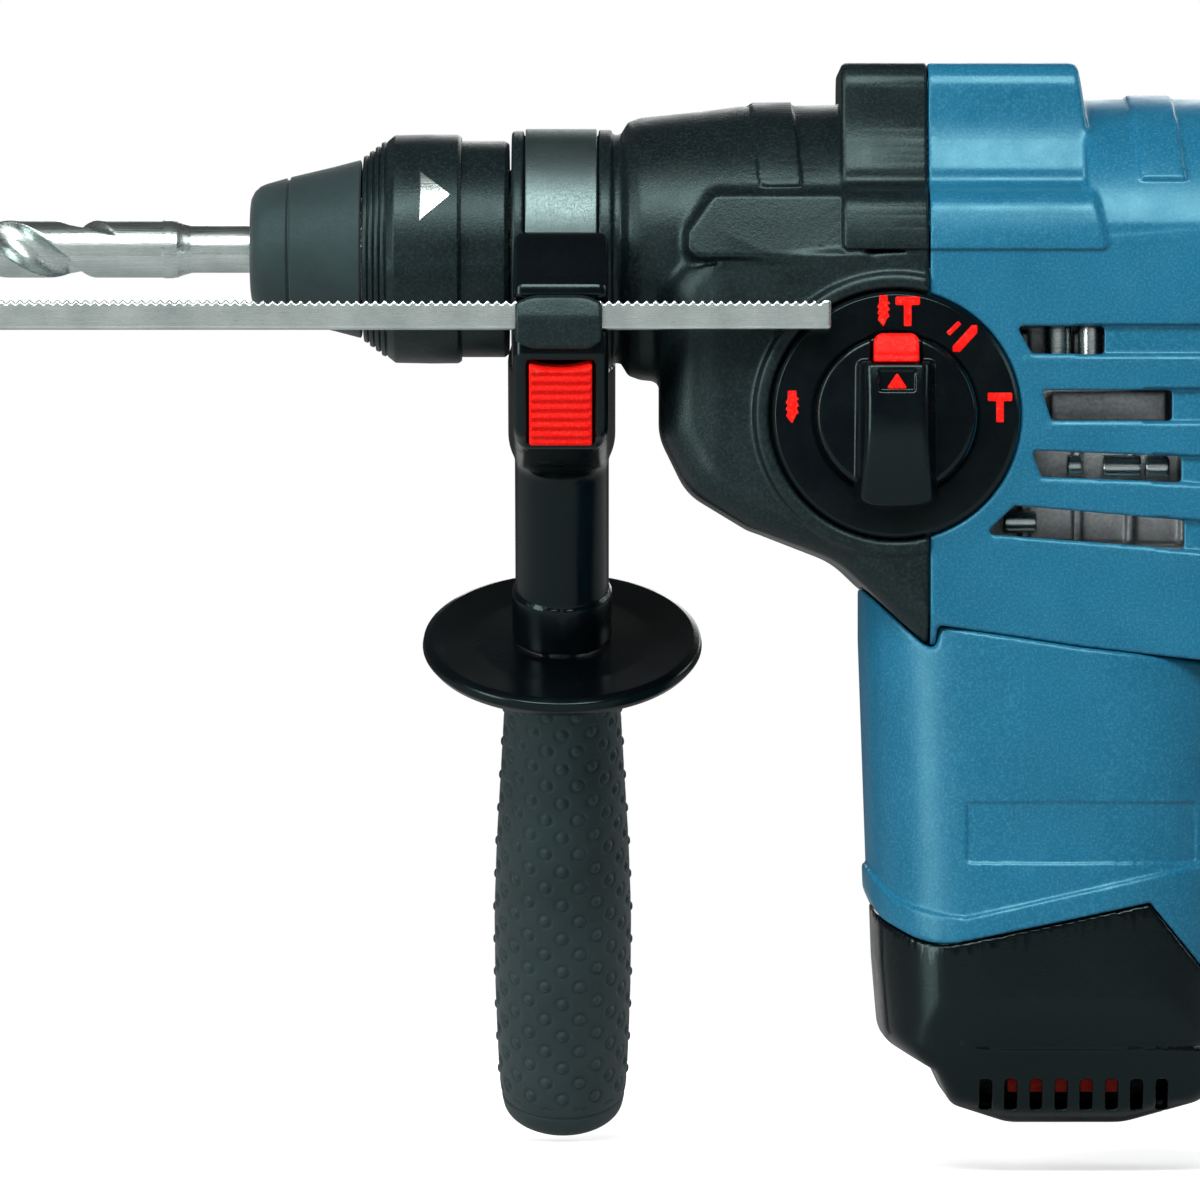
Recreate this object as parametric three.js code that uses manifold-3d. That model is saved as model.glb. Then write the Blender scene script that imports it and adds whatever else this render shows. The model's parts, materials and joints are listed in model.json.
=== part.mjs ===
// Rotary hammer with an upright motor, a vibration-damped rear handle and a clamped side handle.
// Millimetres, +Z up. The origin is on the motor axis, on the flat underside of the motor base.
// The spindle points along -X. The selector and the depth rod are on the -Y side.
import * as THREE from "three";
import { mergeVertices } from "three/addons/utils/BufferGeometryUtils.js";
import Module from "manifold-3d";

const wasm = await Module();
wasm.setup();

// ---- Driving dimensions ----------------------------------------------------------------------
const GAP = 0.3; // clearance between pieces that touch
const WALL = 3; // housing wall
const ROUND = 16; // facets round a small piece
const FINE = 28; // facets round a large visible piece
const SPINDLE_Z = 182.1; // spindle axis above the base
const COLLAR_X = -102.6; // middle of the clamping collar
const BODY_HALF = 37; // half width of the gearbox
const BODY_REAR = 46; // rear wall of the gearbox
const SPLIT_X = -26.5; // seam between the front gear housing and the rear shells
const HUMP_TOP = 38.4; // top of the hump above the spindle axis
const REAR_TOP = 31.5; // top of the rear shells above the spindle axis
const MOTOR_HALF_X = 40.3;
const MOTOR_HALF_Y = 38;
const MOTOR_ROUND = 30; // corner radius of the motor housing in plan

const NOSE_FRONT = -113; // front lip of the gear housing
const COLLAR_R = 23.6; // seat of the clamping band
const TUBE_OUTER = 17;
const TUBE_BORE = 13.3;
const BALL_BEARING_R = 20; // outside of the spindle bearing
const SHAFT_R = 4; // gear shafts
const SHANK_R = 5; // 10 mm slotted shank
const BIT_R = 6;
const CHUCK_FRONT = -167.8;

const GEAR_MODULE = 1.2;
const PINION_TEETH = 8;
const CRANK_TEETH = 32;
const COUNTER_TEETH = 20;
const BEVEL_PINION_TEETH = 10;
const BEVEL_RING_TEETH = 24;
const BEVEL_MODULE = 2;
const CRANK_X = (-GEAR_MODULE * (PINION_TEETH + CRANK_TEETH)) / 2;
const COUNTER_X = CRANK_X - (GEAR_MODULE * (CRANK_TEETH + COUNTER_TEETH)) / 2;
const CRANK_RADIUS = 8;
const CONROD_LENGTH = 40;
const PISTON_PIN_X = CRANK_X + CRANK_RADIUS - CONROD_LENGTH; // with the crank pin at its rear dead centre
const WRIST_PIN_R = 3;
const CRANK_PIN_R = 3.5;
const GEAR_BOTTOM = 136;
const GEAR_TOP = 144;

const HANDLE_TILT = THREE.MathUtils.degToRad(28); // side handle, swung away from the selector side
const HEAD_WIDTH = 20;
const COLUMN_R = 10;
const FLANGE_R = 30;
const FLANGE_AT = 92.4; // along the side handle, from the spindle axis

const ROD = { rear: -47, length: 210, back: -38.9, depth: 5.5, bottom: -18.1, height: 6.1, pitch: 1.92 };
const DIAL = { x: -33.6, z: 146.6, r: 25.6, face: -38.2, knobR: 16.4 };
const PIVOT = { x: 52, z: 28, r: 3 };

const BLUE = { color: 0x1f6a90, roughness: 0.42, metalness: 0 };
const BLACK = { color: 0x1b2629, roughness: 0.6, metalness: 0 };
const RUBBER = { color: 0x22292b, roughness: 0.85, metalness: 0 };
const RED = { color: 0xe5231f, roughness: 0.4, metalness: 0 };
const STEEL = { color: 0xb4bfbf, roughness: 0.3, metalness: 1 };
const DARK_STEEL = { color: 0x6d7475, roughness: 0.45, metalness: 1 };
const CAST = { color: 0x8f9694, roughness: 0.65, metalness: 0.8 };
const COPPER = { color: 0xa55a2b, roughness: 0.35, metalness: 1 };
const BRASS = { color: 0xc09a4a, roughness: 0.35, metalness: 1 };
const CARBON = { color: 0x2b2b2d, roughness: 0.7, metalness: 0.2 };
const IRON = { color: 0x5a5f61, roughness: 0.55, metalness: 0.9 };

// ---- Solids ------------------------------------------------------------------------------------
function solid(geometry) {
  const bare = new THREE.BufferGeometry();
  bare.setAttribute("position", geometry.getAttribute("position"));
  if (geometry.index) bare.setIndex(geometry.index);
  const merged = mergeVertices(bare, 1e-4);
  const vertProperties = new Float32Array(merged.getAttribute("position").array);
  const triVerts = new Uint32Array(merged.index.array);
  const made = new wasm.Manifold(new wasm.Mesh({ numProp: 3, vertProperties, triVerts }));
  if (made.volume() > 0) return made;
  return new wasm.Manifold(
    new wasm.Mesh({ numProp: 3, vertProperties, triVerts: triVerts.slice().reverse() }),
  );
}

function geometryOf(body) {
  const mesh = body.getMesh();
  const geometry = new THREE.BufferGeometry();
  geometry.setAttribute("position", new THREE.BufferAttribute(new Float32Array(mesh.vertProperties), 3));
  geometry.setIndex(new THREE.BufferAttribute(new Uint32Array(mesh.triVerts), 1));
  return geometry;
}

const moved = (body, matrix) => solid(geometryOf(body).applyMatrix4(matrix));
const shifted = (body, x, y, z) => moved(body, new THREE.Matrix4().makeTranslation(x, y, z));
const joined = (bodies) => bodies.reduce((sum, body) => sum.add(body));
const without = (body, cuts) => cuts.reduce((rest, cut) => rest.subtract(cut), body);

// The body made smaller by the wall on every side of its box.
function shrunk(body, wall) {
  const geometry = geometryOf(body);
  geometry.computeBoundingBox();
  const size = geometry.boundingBox.getSize(new THREE.Vector3());
  const middle = geometry.boundingBox.getCenter(new THREE.Vector3());
  const scale = new THREE.Vector3(1, 1, 1).sub(new THREE.Vector3(2 * wall, 2 * wall, 2 * wall).divide(size));
  geometry.translate(-middle.x, -middle.y, -middle.z);
  geometry.scale(scale.x, scale.y, scale.z);
  geometry.translate(middle.x, middle.y, middle.z);
  return solid(geometry);
}

function box([x0, x1], [y0, y1], [z0, z1]) {
  const geometry = new THREE.BoxGeometry(x1 - x0, y1 - y0, z1 - z0);
  return solid(geometry.translate((x0 + x1) / 2, (y0 + y1) / 2, (z0 + z1) / 2));
}

// Turns a shape made along +Y into one made along the named axis, then moves it to a point.
function along(geometry, axis, [x, y, z]) {
  if (axis === "x") geometry.rotateZ(-Math.PI / 2);
  if (axis === "z") geometry.rotateX(Math.PI / 2);
  return geometry.translate(x, y, z);
}

// A solid of revolution. The profile lists [station, radius] along the axis.
function turned(profile, axis, at = [0, 0, 0], segments = ROUND) {
  const points = profile.map(([station, radius]) => new THREE.Vector2(radius, station));
  points.unshift(new THREE.Vector2(0, profile[0][0]));
  points.push(new THREE.Vector2(0, profile[profile.length - 1][0]));
  return solid(along(new THREE.LatheGeometry(points, segments), axis, at));
}

const rod = (from, to, radius, axis, at, segments = ROUND) =>
  turned([[from, radius], [to, radius]], axis, at, segments);

function ring(from, to, inner, outer, axis, at, segments = ROUND) {
  return rod(from, to, outer, axis, at, segments).subtract(rod(from - 1, to + 1, inner, axis, at, segments));
}

// An outline through corners [u, v, radius], each corner rounded by its radius. A corner that can't be
// rounded by more than the least radius, which a bevel needs to stay open, is left sharp.
function outline(corners, least = 0, steps = 3) {
  const shape = new THREE.Shape();
  corners.forEach(([u, v, wanted = 0], i) => {
    const corner = new THREE.Vector2(u, v);
    const before = new THREE.Vector2(...corners.at(i - 1).slice(0, 2)).sub(corner);
    const after = new THREE.Vector2(...corners[(i + 1) % corners.length].slice(0, 2)).sub(corner);
    const room = 0.49 * Math.min(before.length(), after.length());
    const radius = wanted > 0 && room > least ? Math.min(Math.max(wanted, least), room) : 0;
    const start = corner.clone().addScaledVector(before.normalize(), radius);
    const end = corner.clone().addScaledVector(after.normalize(), radius);
    if (i === 0) shape.moveTo(start.x, start.y);
    else shape.lineTo(start.x, start.y);
    if (radius > 0) shape.quadraticCurveTo(u, v, end.x, end.y);
  });
  shape.closePath();
  shape.curveSteps = steps;
  return shape;
}

// Which way the outline's u and v run, and the way it is extruded.
const PLANES = {
  xz: new THREE.Matrix4().set(1, 0, 0, 0, 0, 0, 1, 0, 0, 1, 0, 0, 0, 0, 0, 1),
  yz: new THREE.Matrix4().set(0, 0, 1, 0, 1, 0, 0, 0, 0, 1, 0, 0, 0, 0, 0, 1),
  xy: new THREE.Matrix4(),
};

function prism(corners, plane, [from, to], bevel = 0) {
  const shape = outline(corners, 1.6 * bevel);
  const geometry = new THREE.ExtrudeGeometry(shape, {
    depth: to - from - 2 * bevel,
    curveSegments: shape.curveSteps,
    bevelEnabled: bevel > 0,
    bevelThickness: bevel,
    bevelSize: bevel,
    bevelOffset: -bevel,
    bevelSegments: 2,
  });
  geometry.translate(0, 0, from + bevel);
  return solid(geometry.applyMatrix4(PLANES[plane]));
}

// A round bar along a curve.
function wire(curve, radius, steps) {
  const section = new THREE.Shape().absarc(0, 0, radius, 0, 2 * Math.PI);
  const options = { steps, extrudePath: curve, curveSegments: 3, bevelEnabled: false };
  return solid(new THREE.ExtrudeGeometry(section, options));
}

class Helix extends THREE.Curve {
  constructor(from, to, radius, turns, y, z) {
    super();
    Object.assign(this, { from, to, radius, turns, y, z });
  }

  getPoint(t, target = new THREE.Vector3()) {
    const angle = 2 * Math.PI * this.turns * t;
    const x = this.from + (this.to - this.from) * t;
    return target.set(x, this.y + this.radius * Math.cos(angle), this.z + this.radius * Math.sin(angle));
  }
}

// ---- Gears -------------------------------------------------------------------------------------
// Stub teeth with backlash. The first tooth points along +X when phase is 0, a gap when it is 0.5.
function spurGear(teeth, [bottom, top], phase, at) {
  const pitchR = (GEAR_MODULE * teeth) / 2;
  const tooth = (2 * Math.PI) / teeth;
  const levels = [
    [pitchR - 1.15 * GEAR_MODULE, 0.29],
    [pitchR + 0.8 * GEAR_MODULE, 0.1],
  ];
  const corners = [];
  for (let i = 0; i < teeth; i += 1) {
    const middle = (i + phase) * tooth;
    for (const [r, half] of levels) {
      corners.push([r * Math.cos(middle - half * tooth), r * Math.sin(middle - half * tooth)]);
    }
    for (const [r, half] of levels.toReversed()) {
      corners.push([r * Math.cos(middle + half * tooth), r * Math.sin(middle + half * tooth)]);
    }
  }
  return shifted(prism(corners, "xy", [bottom, top]), at[0], at[1], 0);
}

// A straight bevel gear with its apex at the origin and its axis along +Z.
function bevelGear(teeth, matingTeeth, faceWidth, phase) {
  const pitchR = (BEVEL_MODULE * teeth) / 2;
  const pitchAngle = Math.atan2(teeth, matingTeeth);
  const reach = pitchR / Math.sin(pitchAngle);
  const rootAngle = pitchAngle - (1.1 * BEVEL_MODULE) / reach;
  const tipAngle = pitchAngle + (0.75 * BEVEL_MODULE) / reach;
  const inner = reach - faceWidth;
  const point = (distance, cone, turn) => [
    distance * Math.sin(cone) * Math.cos(turn),
    distance * Math.sin(cone) * Math.sin(turn),
    -distance * Math.cos(cone),
  ];
  const blank = turned(
    [
      [-reach * Math.cos(rootAngle) - 2, reach * Math.sin(rootAngle)],
      [-reach * Math.cos(rootAngle), reach * Math.sin(rootAngle)],
      [-inner * Math.cos(rootAngle), inner * Math.sin(rootAngle)],
    ],
    "z",
    [0, 0, 0],
    teeth,
  );
  const pitch = (2 * Math.PI) / teeth;
  const wedges = [];
  for (let i = 0; i < teeth; i += 1) {
    const middle = (i + phase) * pitch;
    const vertices = [];
    for (const distance of [inner + 0.2, reach]) {
      for (const [cone, side] of [
        [rootAngle - 0.05, -0.27],
        [tipAngle, -0.09],
        [tipAngle, 0.09],
        [rootAngle - 0.05, 0.27],
      ]) {
        vertices.push(...point(distance, cone, middle + side * pitch));
      }
    }
    wedges.push(solid(wedgeGeometry(vertices)));
  }
  return joined([blank, ...wedges]);
}

// Six quads between an inner and an outer section of four points each.
function wedgeGeometry(vertices) {
  const quads = [[0, 1, 2, 3], [7, 6, 5, 4], [0, 4, 5, 1], [1, 5, 6, 2], [2, 6, 7, 3], [3, 7, 4, 0]];
  const geometry = new THREE.BufferGeometry();
  geometry.setAttribute("position", new THREE.Float32BufferAttribute(vertices, 3));
  geometry.setIndex(quads.flatMap(([a, b, c, d]) => [a, b, c, a, c, d]));
  return geometry;
}

// ---- Housing forms -----------------------------------------------------------------------------
const up = (height) => SPINDLE_Z + height;
const axisAt = [0, 0, SPINDLE_Z];

function gearboxForm() {
  const side = prism(
    [
      [-44.5, up(16)],
      [-44.5, up(HUMP_TOP), 1.5],
      [5.2, up(HUMP_TOP), 1.5],
      [8.4, up(20)],
      [20, up(20)],
      [20, 95],
      [-22, 95],
      [-27, 98.6, 2],
      [-45.5, 116.4, 8],
      [-70, 125.5, 14],
      [-81.9, 139, 10],
      [-81.9, up(-8), 8],
      [-60, up(4)],
    ],
    "xz",
    [-50, 50],
  );
  const section = prism(mirroredSection(HUMP_TOP, ROUND), "yz", [-90, 20]);
  return side.intersect(section).intersect(planForm());
}

function mirroredSection(top, round) {
  const half = [
    [-26.5, up(top), round],
    [-27, up(15.5), 2],
    [-BODY_HALF, up(11), 5],
    [-BODY_HALF, 90],
  ];
  return [...half, ...half.toReversed().map(([y, z, r]) => [-y, z, r])];
}

function planForm() {
  const half = [
    [20, -BODY_HALF],
    [-30, -BODY_HALF, 20],
    [-64, -33, 16],
    [-90, -22, 4],
  ];
  const corners = [...half, ...half.toReversed().map(([x, y, r]) => [x, -y, r])];
  return prism(corners, "xy", [80, 230]);
}

function rearForm() {
  const section = prism(mirroredSection(REAR_TOP, 14), "yz", [0, BODY_REAR]);
  const flanks = [[0, -BODY_HALF], [25, -BODY_HALF, 14], [BODY_REAR, -31, 6]];
  const plan = prism([...flanks, ...flanks.toReversed().map(([x, y, r]) => [x, -y, r])], "xy", [80, 230]);
  const side = prism(
    [[0, up(REAR_TOP)], [BODY_REAR, up(REAR_TOP - 0.8), 4], [BODY_REAR, 92, 2], [0, 92]],
    "xz",
    [-50, 50],
  );
  const strip = prism(mirroredSection(REAR_TOP + 0.8, 14), "yz", [15.7, 24.8]);
  const band = strip.intersect(box([0, BODY_REAR], [-50, 50], [up(14), 230]));
  return section.intersect(side).intersect(plan).add(band);
}

function noseForm() {
  const profile = [
    [NOSE_FRONT, 24.4],
    [NOSE_FRONT + 0.5, 24.8],
    [-110.4, 24.8],
    [-110.4, COLLAR_R],
    [-94.8, COLLAR_R],
    [-94.8, 25],
    [-92, 25],
    [-92, 24],
    [-90.2, 24],
    [-88.6, 26.6],
    [-86.1, 27.5],
    [-73.6, 28.8],
    [-65.1, 29.8],
    [-45.6, 30.2],
    [SPLIT_X, 30.2],
  ];
  return turned(profile, "x", axisAt, FINE);
}

function flankPad(y0, y1) {
  return prism(
    [[-76, up(-4), 5], [-76, up(10), 5], [-40, up(10)], [-40, up(-4)]],
    "xz",
    [y0, y1],
    0.8,
  );
}

function outerForm() {
  const strip = ring(-63, -54.2, 29, 31.1, "x", axisAt, FINE);
  const topOnly = prism([[-64, up(11)], [-64, 230], [-50, 230], [-52, up(11)]], "xz", [-40, 40]);
  return joined([
    gearboxForm(),
    rearForm(),
    noseForm(),
    strip.intersect(topOnly),
    flankPad(-32.4, -20),
    flankPad(20, 32.4),
  ]);
}

// Everything below the seam between the gearbox and the motor housing.
function belowSeam(lift) {
  return prism(
    [
      [-60, -5],
      [-60, 122 + lift],
      [-45.8, 116.4 + lift, 6],
      [-27, 99.6 + lift, 2],
      [-24.6, 103.1 + lift, 2],
      [60, 93.3 + lift],
      [60, -5],
    ],
    "xz",
    [-60, 60],
  );
}

function dialRecess(extra) {
  return rod(DIAL.face - 8, -35.4, DIAL.r + extra, "y", [DIAL.x, 0, DIAL.z], FINE);
}

// The space for the gears and, in front of it, the bore that holds the spindle bearing.
function frontCavity() {
  const bore = joined([
    rod(-84, -40, 26, "x", axisAt),
    rod(NOSE_FRONT - 1, -80, BALL_BEARING_R, "x", axisAt),
  ]);
  return shrunk(gearboxForm(), WALL).add(bore);
}

function gearHousing() {
  const rim = rod(-37.6, -34.5, DIAL.r + 2.2, "y", [DIAL.x, 0, DIAL.z], FINE);
  const front = outerForm().add(rim).intersect(box([-120, SPLIT_X - GAP / 2], [-60, 60], [80, 240]));
  return without(front, [frontCavity(), dialRecess(GAP), belowSeam(GAP)]);
}

// Ventilation slots in the flank, each as corners in the side view.
const FLANK_SLOTS = [
  [[-8.6, 164.9, 1], [9.6, 164.9, 1], [9.6, 159.2, 1], [-5.4, 159.2, 1]],
  [[-3.4, 151.7, 1], [23.5, 151.7, 1], [23.5, 145.4, 1], [-1.4, 145.4, 1]],
  [[-5.5, 139.3, 1], [25.4, 138, 1], [25.4, 132.7, 1], [-3.5, 133.8, 1]],
  [[-9, 127.9, 1], [26, 124.8, 1], [26, 118.9, 1], [-15.1, 122, 1]],
];

function rearShell(side) {
  const hollow = joined([
    shrunk(rearForm(), WALL),
    shrunk(gearboxForm(), WALL),
    box([-40, 22], [-BODY_HALF + WALL, BODY_HALF - WALL], [90, up(8)]),
    box([20, BODY_REAR - WALL], [-27.5, 27.5], [90, up(8)]),
  ]);
  const y = side < 0 ? [-60, -GAP / 2] : [GAP / 2, 60];
  const outer = outerForm().intersect(box([SPLIT_X + GAP / 2, 60], y, [80, 240]));
  const slots = FLANK_SLOTS.map((corners) => prism(corners, "xz", side < 0 ? [-60, -20] : [20, 60]));
  const recesses = FLANK_SLOTS.map(([, [x, top], [, bottom]]) =>
    box([x - 1, BODY_REAR - 3], side < 0 ? [-60, -36] : [36, 60], [bottom - 0.4, top + 0.4]),
  );
  const duct = box([BODY_REAR - 10, 60], [-10, 10], [up(-4), up(20)]);
  return without(outer, [hollow, ...slots, ...recesses, duct, dialRecess(GAP), belowSeam(GAP)]);
}

function motorPlan(grow, [z0, z1]) {
  const x = MOTOR_HALF_X + grow;
  const y = MOTOR_HALF_Y + grow;
  const corners = [[-x, -y], [x, -y], [x, y], [-x, y]].map((corner) => [...corner, MOTOR_ROUND]);
  return prism(corners, "xy", [z0, z1]);
}

// The border between the motor housing and the base, seen from the side.
function baseBorder(drop) {
  return prism(
    [
      [-60, 60 - drop],
      [-42, 52 - drop],
      [-29, 38.6 - drop, 4],
      [-21, 37 - drop, 4],
      [18.4, 45.4 - drop, 1],
      [32, 29.6 - drop, 1],
      [60, 27 - drop],
      [60, -10],
      [-60, -10],
    ],
    "xz",
    [-60, 60],
  );
}

function motorHousing() {
  const pot = motorPlan(0, [25, 125]).intersect(belowSeam(0));
  const inside = motorPlan(-WALL, [0, 130]);
  return without(pot, [inside, baseBorder(0)]);
}

function baseForm(grow) {
  const side = prism(
    [
      [-39.4 - grow, 60],
      [-37.2 - grow, 27.5, 6],
      [-34.5 - grow, 17, 6],
      [-24.5, 10.2 - grow, 1.5],
      [-20, 4 - grow, 5],
      [-10, 0 - grow, 5],
      [14, 0 - grow, 5],
      [30, 5 - grow, 8],
      [42 + grow, 16, 6],
      [42 + grow, 60],
    ],
    "xz",
    [-60, 60],
  );
  const half = [
    [-40 - grow, 60],
    [-38.4 - grow, 24, 10],
    [-32 - grow, 5 - grow, 8],
    [-22, 0 - grow, 4],
  ];
  const front = prism([...half, ...half.toReversed().map(([y, z, r]) => [-y, z, r])], "yz", [-60, 60]);
  return side.intersect(motorPlan(grow + 1.2, [-5, 60])).intersect(front);
}

const BASE_SLOTS = { count: 8, first: -16, pitch: 5.2, width: 2.4, z: [3.2, 9.4] };

function baseCap() {
  const shell = baseForm(0).intersect(baseBorder(GAP));
  const inside = shrunk(baseForm(0).intersect(box([-60, 60], [-60, 60], [0, 60])), WALL);
  const open = inside.add(shifted(inside, 0, 0, 12));
  const slots = [];
  for (let i = 0; i < BASE_SLOTS.count; i += 1) {
    const x = BASE_SLOTS.first + i * BASE_SLOTS.pitch;
    slots.push(box([x, x + BASE_SLOTS.width], [-60, -26], BASE_SLOTS.z));
    slots.push(box([x, x + BASE_SLOTS.width], [26, 60], BASE_SLOTS.z));
  }
  const lug = joined([
    box([38, PIVOT.x], [-8, 8], [PIVOT.z - 5.5, PIVOT.z + 5.5]),
    rod(-8, 8, 5.5, "y", [PIVOT.x, 0, PIVOT.z]),
  ]).subtract(motorPlan(GAP, [27, 60]));
  const bore = rod(-20, 20, PIVOT.r + GAP, "y", [PIVOT.x, 0, PIVOT.z]);
  return without(shell, [open, ...slots]).add(lug).subtract(bore);
}

// ---- Motor -------------------------------------------------------------------------------------
const motorAxis = [0, 0, 0];

function statorCore() {
  const outer = ring(48, 90, 24.2, 34.4, "z", motorAxis);
  const window = (y) => box([-12, 12], [y - 1.8, y + 1.8], [40, 100]);
  return without(outer, [window(-27), window(27)]);
}

const fieldWinding = () => ring(91, 95.4, 24.6, 32, "z", motorAxis);
const armatureCore = () => ring(49, 89, 6.4, 23, "z", motorAxis);

function armatureWindings() {
  return turned([[89.4, 19], [91, 20.5], [93.5, 19], [94.5, 12]], "z", motorAxis).subtract(
    rod(80, 100, 6.4, "z", motorAxis),
  );
}

function commutator() {
  return without(ring(26, 40, 6.4, 12, "z", motorAxis), [ring(25, 27, 11, 13, "z", motorAxis)]);
}

function armatureShaft() {
  const profile = [[12.5, 4], [20, 4], [20, 6], [105, 6], [105, 4.9], [133, 4.9], [133, 3.1]];
  const shaft = turned(profile, "z", motorAxis);
  return shaft.add(spurGear(PINION_TEETH, [133, 147], 0, [0, 0]));
}

function coolingFan() {
  const bladeCount = 9;
  const disc = ring(96.2, 98, 6.4, 26.5, "z", motorAxis);
  const blades = [];
  for (let i = 0; i < bladeCount; i += 1) {
    const turn = new THREE.Matrix4().makeRotationZ((i * 2 * Math.PI) / bladeCount);
    blades.push(moved(box([13, 26], [-0.8, 0.8], [97.5, 103]), turn));
  }
  return joined([disc, ring(97.5, 103, 6.4, 10, "z", motorAxis), ...blades]);
}

const upperBearing = () => ring(106, 114, 5.2, 13, "z", motorAxis);
const lowerBearing = () => ring(12.5, 19.5, 4.3, 11, "z", motorAxis);

function bearingBracket() {
  const plate = prism(
    [[-22, -30, 8], [30, -30, 8], [30, 30, 8], [-22, 30, 8]],
    "xy",
    [112, 120],
  );
  const hub = rod(105.5, 120, 17, "z", motorAxis);
  const gearBearing = rod(112, 130, 10, "z", [CRANK_X, 0, 0]);
  const counterBearing = joined([
    rod(128, 134, 8, "z", [COUNTER_X, 0, 0]),
    box([COUNTER_X, -24], [-5, 5], [128, 133]),
  ]);
  const towers = [-1, 1].flatMap((side) => [
    box([8, 24], [side * 24 - 5, side * 24 + 5], [118, 152]),
    box([-4, 14], [side * 25 - 4, side * 25 + 4], [118, 166]),
  ]);
  return without(joined([plate, hub, gearBearing, counterBearing, ...towers]), [
    rod(105, 114.3, 13 + GAP, "z", motorAxis),
    rod(100, 125, 8, "z", motorAxis),
    rod(115, 134, SHAFT_R + GAP, "z", [CRANK_X, 0, 0]),
    rod(127, 136, SHAFT_R + GAP, "z", [COUNTER_X, 0, 0]),
  ]);
}

function brushHolder() {
  const plate = ring(41, 44, 15, 33, "z", motorAxis);
  const boxes = [-1, 1].map((side) =>
    box([-5, 5], side < 0 ? [-32, -15.5] : [15.5, 32], [27, 41.5]),
  );
  const feet = [-1, 1].map((side) => box([-10, 14], [side * 25 - 1.5, side * 25 + 1.5], [6.5, 14]));
  const legs = [-1, 1].map((side) => box([6, 12], [side * 25 - 1.5, side * 25 + 1.5], [9, 42]));
  const pockets = box([-3.4, 3.4], [-40, 40], [29.6, 38.4]);
  return without(joined([plate, ...boxes, ...feet, ...legs]), [pockets]);
}

const brush = (side) =>
  box([-3.1, 3.1], side < 0 ? [-28, -12.6] : [12.6, 28], [30, 38]);

// ---- Gear train and hammer mechanism -----------------------------------------------------------
function crankGear() {
  const at = [CRANK_X, 0, 0];
  return joined([
    spurGear(CRANK_TEETH, [GEAR_BOTTOM, GEAR_TOP], 0.5, [CRANK_X, 0]),
    rod(118, 168, SHAFT_R, "z", at),
    rod(GEAR_TOP - 1, 166, 7, "z", at),
    rod(166, 172, 13, "z", at, 32),
  ]);
}

function counterShaft() {
  const pinion = bevelGear(BEVEL_PINION_TEETH, BEVEL_RING_TEETH, 7, 0);
  return joined([
    spurGear(COUNTER_TEETH, [GEAR_BOTTOM, GEAR_TOP], 0, [COUNTER_X, 0]),
    shifted(pinion, COUNTER_X, 0, SPINDLE_Z),
    rod(129, 157, SHAFT_R, "z", [COUNTER_X, 0, 0]),
  ]);
}

function spindleBevelGear() {
  const gear = bevelGear(BEVEL_RING_TEETH, BEVEL_PINION_TEETH, 7, 0.5);
  const faceForward = new THREE.Matrix4().makeRotationY(Math.PI / 2);
  const placed = shifted(moved(gear, faceForward), COUNTER_X, 0, SPINDLE_Z);
  return placed.subtract(rod(-90, -50, TUBE_OUTER + GAP, "x", axisAt));
}

function spindleTube() {
  const profile = [
    [-128.2, 10.6],
    [-120, 14.5],
    [-112, TUBE_OUTER],
    [-53, TUBE_OUTER],
  ];
  return without(turned(profile, "x", axisAt), [
    rod(-112, -40, TUBE_BORE, "x", axisAt),
    rod(-140, -100, 8.4, "x", axisAt),
  ]);
}

const BALL = { x: -149, r: 3.4, out: 7.2 }; // centre of each locking ball and its distance from the axis

function toolHolder() {
  const body = turned([[-163.5, 8.6], [-161, 10.7], [-128.6, 10.7]], "x", axisAt);
  const pockets = [[-12, -4], [4, 12]].map(([from, to]) =>
    rod(from, to, BALL.r + GAP, "z", [BALL.x, 0, SPINDLE_Z]),
  );
  return without(body, [rod(-170, -120, SHANK_R + GAP, "x", axisAt), ...pockets]);
}

function ball(side) {
  const geometry = new THREE.SphereGeometry(BALL.r, 12, 8);
  return solid(geometry.translate(BALL.x, 0, SPINDLE_Z + side * BALL.out));
}

const lockRing = () => ring(-153, -145, 11.1, 14, "x", axisAt);

function chuckSpring() {
  return wire(new Helix(-143.5, -126.5, 13.2, 4, 0, SPINDLE_Z), 0.9, 32);
}

function dustCap() {
  const outer = [
    [CHUCK_FRONT, 10.6],
    [-166.8, 12],
    [-163.5, 13.7],
    [-160.2, 14.6],
    [-159.8, 14.2],
    [-159.4, 14.8],
    [-155, 16.2],
    [-150.7, 17],
    [-144.4, 18.4],
  ];
  const cavity = turned([[-164, 9.1], [-161.4, 11.1], [-156, 11.1], [-154, 14.3], [-140, 14.3]], "x", axisAt);
  return without(turned(outer, "x", axisAt, FINE), [cavity, rod(-170, -150, SHANK_R + 0.5, "x", axisAt)]);
}

function lockingSleeve() {
  const outer = [
    [-144, 18.8],
    [-142.6, 19.8],
    [-142.1, 19.4],
    [-140.9, 21.6],
    [-140.4, 21.2],
    [-139.2, 23.2],
    [-138, 23.9],
    [-124.3, 24],
    [-123.5, 23.4],
  ];
  return without(turned(outer, "x", axisAt, FINE), [
    rod(-150, -136.5, 14.6, "x", axisAt),
    rod(-136.6, -120, 22.3, "x", axisAt, FINE),
  ]);
}

function chuckRing() {
  const outer = turned([[-129, 21.8], [-114.2, 21.8], [-113.5, 21.2]], "x", axisAt, FINE);
  const seat = turned([[-130, 14.6], [-125.4, 14.6], [-125.3, 17.3], [-110, 17.3]], "x", axisAt);
  return outer.subtract(seat);
}

function piston() {
  const crown = rod(-73, -51, TUBE_BORE - GAP, "x", axisAt);
  const slot = prism([[-70, -9, 4], [-40, -9], [-40, 9], [-70, 9, 4]], "xy", [up(-5), up(5)]);
  return without(crown, [slot, rod(-20, 20, WRIST_PIN_R + GAP, "z", [PISTON_PIN_X, 0, SPINDLE_Z])]);
}

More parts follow.
